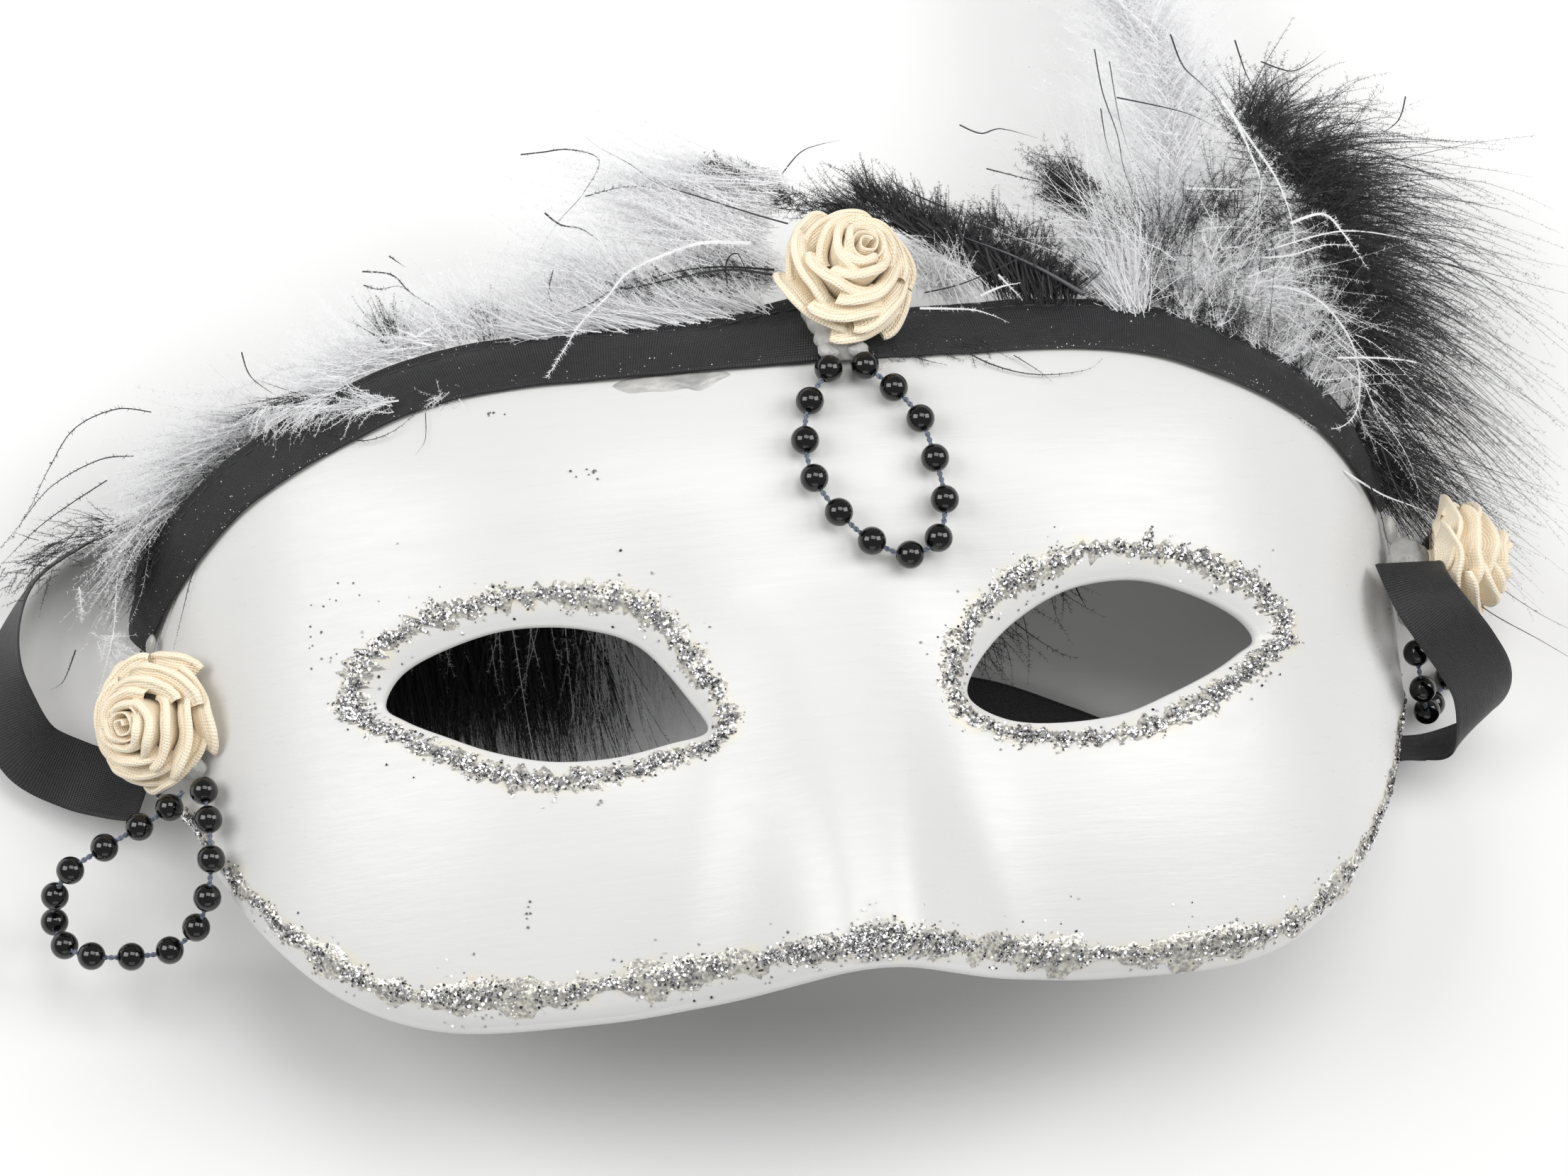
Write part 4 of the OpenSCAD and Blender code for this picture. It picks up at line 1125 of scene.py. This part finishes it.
# Left of the middle rose
feathers("white_down_center_low", white_down, "white_feather", [
    spray([(-36, 50, 40.5), (-20, 50.5, 41.6), (-2, 50.5, 42.4)],
        [(-1, 0.8, -0.2), (-0.8, 1, -0.3), (-0.8, 1, -0.3)], [11, 15, 17], (-0.15, 0.05, -0.1), 900, fuzz=1.3,
        per=34, spread=0.25),
    spray([(-36, 50, 41.2), (-20, 50.4, 42.4), (-2, 50.6, 43.2)],
        [(-1, 0.45, 0.05), (-1, 0.5, 0.05), (-1, 0.55, 0.05)], [8, 10, 10], (-0.1, -0.1, 0), 420, 0.16, 0.6, 22,
        0.14, 0.5, 0.08),
    hair([(-4, 61, 43.5), (-11, 61.5, 43.5), (-17, 60, 43.5), (-22, 58, 43.2),
        (-25, 55, 42.6)] + over([(-29, 50), (-32, 46), (-35, 42)], 2.4).tolist(), 0.4, 1.4, 420),
], ["feathers_white_center"])
feathers("white_down_center_high", pale_down, "white_feather", [
    spray([(-1, 56, 40), (-3, 62, 38), (0, 68, 36), (2, 72, 36)],
        [(-1, 0.5, -0.1), (-1, 0.45, -0.1), (-1, 0.25, -0.1), (-1, 0.1, -0.05)], [24, 27, 27, 24],
        (-0.05, 0.08, -0.12), 1300, fuzz=1.5, per=44, spread=0.16, scatter=1.2),
    spray([(-20, 56, 39), (-28, 58, 37)], [(-0.6, 0.9, -0.2), (-1, 0.5, -0.2)], [16, 14], (-0.2, 0, -0.1), 320,
        fuzz=1.4, per=40, spread=0.35, scatter=1.5),
])
feathers("black_down_center", black_down, "black_feather", [
    spray([(-1, 56.5, 41), (-12, 57, 41), (-23, 56, 40.5)],
        [(-0.5, 1, -0.1), (-0.8, 0.6, -0.1), (-1, 0.4, -0.1)], [4, 4, 3], (0, 0, 0), 130, 0.1, 0.9, 26, 0.6,
        0.6),
    spray([(-4, 55, 41), (-20, 54.5, 41)], [(-0.7, -0.6, -0.2), (-1, -0.3, -0.2)], [4, 4], (0, 0, 0), 70, 0.1,
        0.8, 20, 0.5, 0.6),
    spray([(6, 67, 36), (-2, 72, 35.5), (-6, 73.5, 35)], [(-1, 0.3, 0), (-1, 0.25, 0), (-1, 0.1, 0)], [6, 6, 5],
        (0, 0.05, 0), 150, 0.1, 1.3, 34, 0.3, 0.8),
    hair([(-1, 56, 43.8), (-7, 57.3, 43.6), (-13, 57, 43.4), (-21, 56, 42.6), (-24, 56, 42), (-28, 54, 41.8),
        (-32, 53, 41.6), (-37, 52.6, 41.2), (-41, 53, 40)], 0.3, 0.7, 110),
    hair([(-1, 57, 43), (-9, 58, 43), (-16, 57.6, 42.8), (-24, 56, 42)], 0.25, 0.7, 60),
    hair([(2, 64, 41), (-3, 66, 40.5), (-10, 69, 40), (-16, 72, 38.5), (-19, 75, 37.5), (-23, 78, 36.5),
        (-25, 80, 36)], 0.2, 0.25, 40),
    hair([(-34, 79, 32), (-31, 79, 32.5), (-27, 79, 33), (-23, 77, 33.5), (-26, 72, 34.5), (-30, 68, 35),
        (-33, 64, 36)], 0.16, 0.5, 70),
    hair([(-32, 69, 37), (-30, 67, 37.5), (-27, 66, 38), (-24, 63, 39)], 0.22, 0.4, 36),
    hair([(-8, 55, 43.5), (-8, 58, 44), (-7, 59.4, 44.2), (-6, 59.2, 44.2), (-5, 56, 43.8), (-5, 54, 43.4)],
        0.24, 0.3, 20),
    hair([(-32, 60, 40), (-33, 56, 40.5), (-31, 53, 41)], 0.14, 0.7, 40),
    hair([(-26, 71, 37), (-20, 72, 37), (-14, 71, 37.5)], 0.14, 0.9, 50),
])

# Right of the middle rose: one dense black feather
feathers("black_down_band", black_down, "black_feather", [
    spray([(14, 68, 37), (20, 64, 39), (27, 60.5, 40.5), (35, 57, 41), (43, 51, 41)],
        [(-0.3, 1, -0.1), (-0.1, 1, -0.1), (0.1, 1, -0.1), (0.5, 1, -0.1), (0.9, 0.6, -0.1)], [5, 6, 5.5, 4, 5],
        (-0.1, 0, -0.1), 620, 0.16, 1.0, 24, 0.3, 0.8, 0.1),
    spray([(18, 65, 38.5), (25, 61, 40), (35, 57, 40.5), (42, 52.5, 40.5)],
        [(0.8, -0.6, 0), (0.5, -0.9, 0), (0, -1, 0), (-0.3, -1, 0)], [8, 9.5, 8, 3.5], (0.1, 0, 0), 900, 0.34,
        0.5, 12, 0.1, 0.7, 0.05),
    spray([(20, 63, 38), (10, 66, 36)], [(-0.9, 0.7, 0), (-1, 0.4, 0)], [11, 7], (0, 0.05, -0.05), 190, 0.14,
        1.1, 28, 0.25, 0.9),
    spray([(30, 63, 39), (40, 58, 39)], [(-0.6, 0.8, 0), (0.4, 0.8, 0)], [5, 5], (0, 0, 0), 90, 0.12, 1.0, 24,
        0.4, 0.8),
    hair([(20, 52, 43.5), (26, 53, 43.8), (34, 56, 43.5), (39, 59, 42), (44, 61, 41)], 0.18, 0.15, 20),
    hair([(25, 65, 40), (21, 67.5, 39), (17, 71, 37)], 0.24, 0.8, 50),
    hair([(3, 73, 34), (6, 76, 34), (9, 77, 34), (12, 77.4, 34)], 0.16, 0.2, 12),
    hair([(19, 65, 38), (14, 69, 37), (12, 72, 36), (9, 74, 35)], 0.24, 1.0, 50),
], ["feather_black_band"])
feathers("grey_quill_band", quill_grey, "black_feather",
    [shaft([(43, 50.5, 42.4), (38, 54, 42.6), (33, 57, 42.4), (27, 60, 41.8)], 0.7)])
feathers("white_down_band", white_down, "white_feather", [
    spray([(17, 61, 38), (26, 53, 41)], [(0.9, -0.3, 0), (0.4, -0.9, 0)], [7, 5], (0, -0.2, 0), 260, 0.12, 0.8,
        22, 0.3, 1.2),
    spray([(20, 54, 41), (27, 53, 42)], [(0.7, 0.6, 0), (-0.5, 0.8, 0)], [7, 6], (0, 0, 0), 120, 0.12, 0.7, 20,
        0.4, 1.0),
    hair([(23, 57, 42.5), (28, 54, 43), (30, 51, 43)], 0.28, 0.7, 60),
    hair([(31, 54, 43), (34, 50, 43.4)], 0.24, 0.8, 40),
    hair([(28, 51, 43.6), (31, 52, 43.8), (34, 52.5, 43.4)], 0.3, 0.7, 40),
    hair([(18, 48.5, 49.4), (22, 48.3, 48.8), (26, 48, 48), (29, 47, 47.4), (31, 46, 47)], 0.26, 0.7, 60),
])

# Dark and white fluff right of it
feathers("white_down_mixed", white_down, "mixed_feather", [
    spray([(49, 49, 40), (51, 48.5, 39.5)], [(-0.7, 1, 0), (0.35, 1, 0)], [13, 12], (-0.1, 0.05, 0), 420, 0.14,
        0.7, 26, 0.22, 0.8),
    spray([(52, 52, 38), (50, 60, 36)], [(-1, 1, -0.1), (-0.7, 1, -0.1)], [19, 20], (-0.2, 0, -0.05), 220, 0.12,
        0.9, 34, 0.35, 2.0, 0.18),
    tufts([(59, 47.5, 36), (64, 46, 34.5), (69, 43.5, 32.5), (73, 41.5, 30), (78, 38, 27), (62, 53, 35),
        (71, 50, 32), (77, 46, 29)],
          [(-0.5, 1, 0), (0.6, 0.9, 0), (-0.4, 0.9, 0), (1, 0.4, 0), (0.2, 1, 0), (-0.9, 0.5, 0), (0.8, 0.7, 0),
          (-0.3, 1, 0)], 12, 46, 1.3),
    spray([(62, 56, 34), (72, 52, 31)], [(0.3, 0.9, 0), (1, 0.1, 0)], [15, 15], (-0.1, -0.2, 0), 90, 0.14, 1.4,
        46, 0.45, 2.0, 0.25),
], ["feathers_mixed_right"])
feathers("black_down_mixed", black_down, "mixed_feather", [
    spray([(48, 66, 34), (44, 69, 34)], [(-0.9, 0.2, 0), (-0.6, 0.5, 0)], [6, 7], (0, 0, 0), 240, 0.1, 1.4, 36,
        0.4, 1.3),
    spray([(46, 55, 37), (55, 62, 34)], [(-0.4, 1, 0), (-0.5, 0.7, 0)], [10, 8], (0, 0.1, 0), 120, 0.1, 1.0, 24,
        0.5, 1.5),
    tufts([(54, 49, 37.5), (57, 48.5, 36.5), (61.5, 47, 35), (66.5, 45, 33.5), (71, 42.5, 31), (76, 39.5, 28),
        (81, 35.5, 23), (84, 33, 20),
           (58, 56, 34.5), (66, 56, 33), (74, 54, 30), (80, 52, 27), (68, 63, 31), (76, 62, 28), (62, 61, 32),
           (82, 44, 26)],
          [(-0.9, 0.8, 0), (0.5, 1, 0), (1, 0.5, 0), (-0.2, 1, 0), (-0.8, 0.5, 0), (0.5, 1, 0), (-0.5, 0.9, 0),
          (1, 0.3, 0),
           (-0.6, 0.9, 0), (0.9, 0.5, 0), (-0.6, 0.7, 0), (-0.2, 1, 0), (-0.3, 1, 0), (-0.8, 0.4, 0),
           (0.4, 1, 0), (-0.6, 0.7, 0)], 12, 34, 1.3),
    hair([(51, 80, 32), (51, 75, 33), (51.5, 71, 34)], 0.14, 0.2, 12),
    hair([(52, 90, 28), (52, 83, 30), (53, 76, 32), (53, 70, 34), (54.5, 64, 35), (57, 59, 36)], 0.16, 0.3, 40),
    hair([(54, 88, 28), (54, 79, 30), (54.4, 72, 33)], 0.14, 0.2, 20),
    hair([(30, 79, 32), (33, 77.5, 32), (36, 78, 32), (41, 76, 33)], 0.2, 0.3, 20),
    hair([(33, 72, 33), (38, 70, 34), (43, 68, 35)], 0.16, 0.5, 30),
    hair([(54, 82, 30), (61, 80, 30), (65, 78.5, 30), (69, 76, 30)], 0.18, 0.2, 20),
    hair([(64, 92, 26), (65, 87, 27), (67, 84, 28), (70, 80, 29)], 0.2, 0.3, 24),
])

# The tall pale plume
plume = [(58, 54, 26), (62, 68, 24), (64, 84, 21), (60, 100, 18), (56, 112, 17)]
feathers("pale_down_plume", pale_down, "white_feather", [
    spray(plume, [(-0.7, 0.9, 0), (-0.7, 0.8, 0), (-0.8, 0.7, 0), (-0.8, 0.7, 0), (-0.5, 1, 0)],
        [16, 17, 16, 13, 7], (-0.05, 0.15, -0.05), 1000, fuzz=1.5, per=44, spread=0.2, scatter=1.2),
    spray(plume, [(0.7, 0.9, 0), (0.6, 0.8, 0), (0.7, 0.7, 0), (0.7, 0.8, 0), (0.4, 1, 0)], [14, 13, 13, 12, 7],
        (0.05, 0.15, -0.05), 900, fuzz=1.5, per=44, spread=0.2, scatter=1.2),
    shaft(plume, 0.6),
], ["plume_white_right"])

# The wide black fan and the barbs below it
fan_spine = [(87, 33, 19), (89, 40, 22), (87, 47, 25), (86, 56, 26), (84, 65, 25), (80, 73, 24), (74, 79, 24)]
fan_aims = [(0.72, -0.68, -0.1), (0.85, -0.5, -0.15), (0.95, -0.3, -0.2), (0.98, -0.1, -0.2), (1, 0.15, -0.25),
    (0.9, 0.45, -0.2), (0.5, 0.9, -0.2)]
feathers("black_down_fan_long", black_down, "black_feather", [
    spray(fan_spine, fan_aims, [26, 29, 31, 33, 34, 29, 16], (0, -0.34, -0.1), 430, 0.15, 1.0, 60, 0.13, 1.2,
        0.1),
    spray(fan_spine[1:], fan_aims[1:], [19, 19, 20, 20, 19, 11], (0, -0.2, -0.05), 480, 0.12, 1.3, 50, 0.3, 1.6,
        0.16),
], ["feathers_black_fan"])
feathers("black_down_fan_core", black_down, "black_feather", [
    spray(fan_spine[1:], [(-0.5, 0.9, 0), (-0.7, 0.7, 0), (-0.8, 0.6, 0), (-0.8, 0.7, 0), (-0.7, 0.8, 0),
        (-0.4, 1, 0)], [7, 9, 10, 11, 11, 8], (0, 0.15, 0), 430, 0.12, 1.4, 44, 0.4, 1.8, 0.2),
    spray(fan_spine[2:6], [(1, 0.1, 0), (1, 0.2, 0), (0.9, 0.5, 0)], [10, 12, 12], (0, -0.1, 0), 420, 0.14, 1.5,
        44, 0.5, 2.2, 0.2),
    shaft([(86, 31, 18), (89, 40, 22), (87, 50, 25), (85, 62, 26), (80, 73, 25)], 0.9),
    hair([(78, 88, 22), (82, 86, 23), (85, 87, 23), (88, 89, 22)], 0.18, 0.2, 16),
    hair([(74, 91, 24), (75, 85, 25), (77, 80, 26)], 0.2, 0.2, 16),
    hair([(100, 82, 19), (98, 78, 20), (93, 75, 22)], 0.18, 0.2, 14),
])
feathers("white_arcs_fan", white_down, "white_feather", [
    hair([(69, 80, 32), (73, 73, 32), (76, 67, 32), (77.4, 60, 32), (76.4, 55, 33)], 0.34, 1.5, 190),
    hair([(70, 78, 33), (72, 72, 33), (73, 66, 33), (69, 61, 34)], 0.3, 0.9, 110),
    hair([(62, 67, 33), (68, 66.5, 33), (73, 66, 33)], 0.26, 0.4, 40),
    hair([(73, 57, 33), (85, 59.5, 31), (97, 58, 27), (103, 56, 24), (108, 54, 21)], 0.24, 0.5, 80),
    hair([(70, 56, 33), (76, 56, 33), (82, 57.4, 32), (87, 57, 31)], 0.26, 1.2, 90),
    hair([(77, 61, 32), (82, 62, 32), (85, 59, 31), (88, 53.5, 31)], 0.34, 1.2, 110),
    hair([(69, 52, 33), (76, 51, 33), (81, 48, 32), (85, 42, 29), (85.4, 35, 26), (82, 31.2, 28), (77, 31, 31),
        (74, 33, 33)], 0.3, 1.7, 240),
    hair([(82, 41, 30), (90, 41, 27), (96, 40, 25), (99, 37, 24), (103, 30, 21)], 0.24, 0.8, 90),
    hair([(82, 25, 26), (88, 22, 22), (93, 20.5, 19), (98, 19, 16)], 0.24, 0.6, 50),
    spray([(78, 50, 31), (84, 42, 28), (88, 33, 20)], [(1, -0.3, 0), (1, -0.6, 0), (0.8, -0.9, 0)],
        [14, 14, 14], (0, -0.25, 0), 26, 0.12, 0.9, 40, 0.35, 1.5),
])
feathers("black_down_right_side", black_down, "black_feather", [
    spray([(86, 33, 18), (89, 30, 14), (90, 26, 12)], [(1, -0.35, -0.05), (1, -0.8, -0.1), (0.6, -1, -0.1)],
        [27, 26, 17], (0.05, -0.15, -0.05), 240, 0.13, 0.8, 34, 0.14, 1.0, 0.08),
    spray([(86, 31, 19), (91, 24, 13)], [(0.3, -1, 0), (0.5, -1, 0)], [7, 6], (0, 0, 0), 120, 0.12, 1.0, 22,
        0.35, 0.8),
    hair([(84, 27, 26), (87, 21, 23), (88, 16, 22), (88.4, 11, 22)], 0.2, 0.3, 24),
    hair([(89, 29, 22), (91, 22, 21), (94, 16, 22), (96, 10, 24)], 0.2, 0.3, 24),
    hair([(96, 8, 24), (104, 4, 16), (112, 0, 12), (121, -5, 8)], 0.18, 0.3, 30),
    hair([(92, 24, 14), (103, 13, 10), (113, 5, 8), (122, 0, 7)], 0.18, 0.5, 50),
], ["feathers_right_side"])

# Loose barbs over the shell and round the fold of the trim
feathers("loose_black_barbs", black_down, "black_feather", [
    hair(over([(-80, 32), (-83, 27), (-85, 23), (-87, 17), (-88, 14)]), 0.16, 0.5, 50),
    hair(over([(-82, 30), (-86, 23), (-88, 19)]), 0.16, 0.5, 36),
    hair(over([(-86, 27), (-88.5, 24), (-90, 22)], 1.0), 0.3, 0.3, 24),
    hair(over([(-87, 22), (-89, 18), (-90, 15)]), 0.14, 0.3, 20),
    hair(over([(-71, 44), (-68, 41), (-63, 38), (-60, 37), (-56, 38), (-52, 41)], 1.2), 0.18, 0.8, 80),
    spray(over([(12, 43), (19, 43.4), (27, 43)], 0.5), [(0.1, -1, 0), (0.5, -1, 0), (0.8, -0.6, 0)], [4, 4, 4],
        (0.1, 0.1, 0), 90, 0.1, 0.7, 18, 0.5, 0.4),
    hair(over([(15, 43), (17, 41.4), (19, 40.6), (21, 40)]), 0.16, 0.4, 24),
    hair(over([(24, 42), (27, 40), (31, 38.4), (35, 37.8), (39, 38), (42, 38.6), (44, 40)]), 0.16, 0.6, 60),
    hair(over([(31, 41), (34, 38.6), (36, 36.6)]), 0.16, 0.4, 24),
    hair(over([(-52, 40), (-52.5, 36), (-54, 34)]), 0.1, 0.2, 12),
])
feathers("loose_white_barbs", white_down, "white_feather", [
    spray(over([(-74, 44), (-67, 42.6), (-56, 41.4)], 2.2), [(-0.6, -0.8, 0), (-0.9, -0.6, 0), (-1, 0.1, 0)],
        [5, 6, 8], (0.1, 0, 0), 150, 0.12, 0.8, 26, 0.3, 0.5),
    hair(over([(-55, 41.4), (-60, 41.6), (-65, 42.4), (-70, 43.6), (-74, 44.4)], 2.6), 0.22, 1.0, 90),
    hair([(-50, 53, 39), (-55, 51, 37), (-60, 49, 36), (-62, 46, 35.5)], 0.26, 1.1, 90),
    spray([(-62, 47, 35.5), (-66, 44, 34.5)], [(-1, 0, 0), (-1, -0.2, 0)], [8, 7], (0, -0.1, 0), 50, 0.14, 0.8,
        26, 0.2, 0.6),
    spray(over([(-50, 42), (-47, 43)], 0.6), [(-0.7, -0.4, 0), (0.3, -0.8, 0)], [4, 3.4], (0, 0, 0), 50, 0.08,
        0.7, 16, 0.5, 0.3),
])

# Put away under the mask, seen through the eyes
feathers("black_down_inside", black_down, "black_feather", [
    spray([(-62, 24, 3), (-45, 25, 3), (-26, 25, 3)], [(0, -1, 0), (0, -1, 0), (0.1, -1, 0)], [30, 31, 30],
        (0, 0, -0.02), 1500, 0.35, 1.0, 40, 0.12, 0.8, 0.05),
    spray([(26, 6, 5), (32, 15, 5), (44, 19, 5)], [(0.5, -0.9, 0), (0.5, -0.9, 0), (0.2, -1, 0)], [8, 13, 9],
        (0.1, 0, 0), 46, 0.16, 1.3, 40, 0.4, 0.8, 0.2),
    hair([(44, 19, 6), (44.5, 15, 6), (46, 11, 6)], 0.3, 0.6, 40),
    hair([(30, 16, 6), (35, 10, 6), (41, 5, 6), (44, 4, 6)], 0.2, 1.2, 70),
], ["feathers_inside_left"])
feathers("white_down_inside", white_down, "white_feather", [
    spray([(-28, 25, 3), (-12, 25, 3)], [(0, -1, 0), (0.1, -1, 0)], [31, 30], (0, 0, 0), 700, 0.16, 1.2, 44,
        0.12, 0.8, 0.08),
    spray([(-60, 24, 7), (-26, 24, 7)], [(0.1, -1, 0), (-0.1, -1, 0)], [26, 26], (0, 0, 0), 26, 0.2, 1.3, 60,
        0.2, 0.8, 0.12),
], ["feathers_inside_middle"])
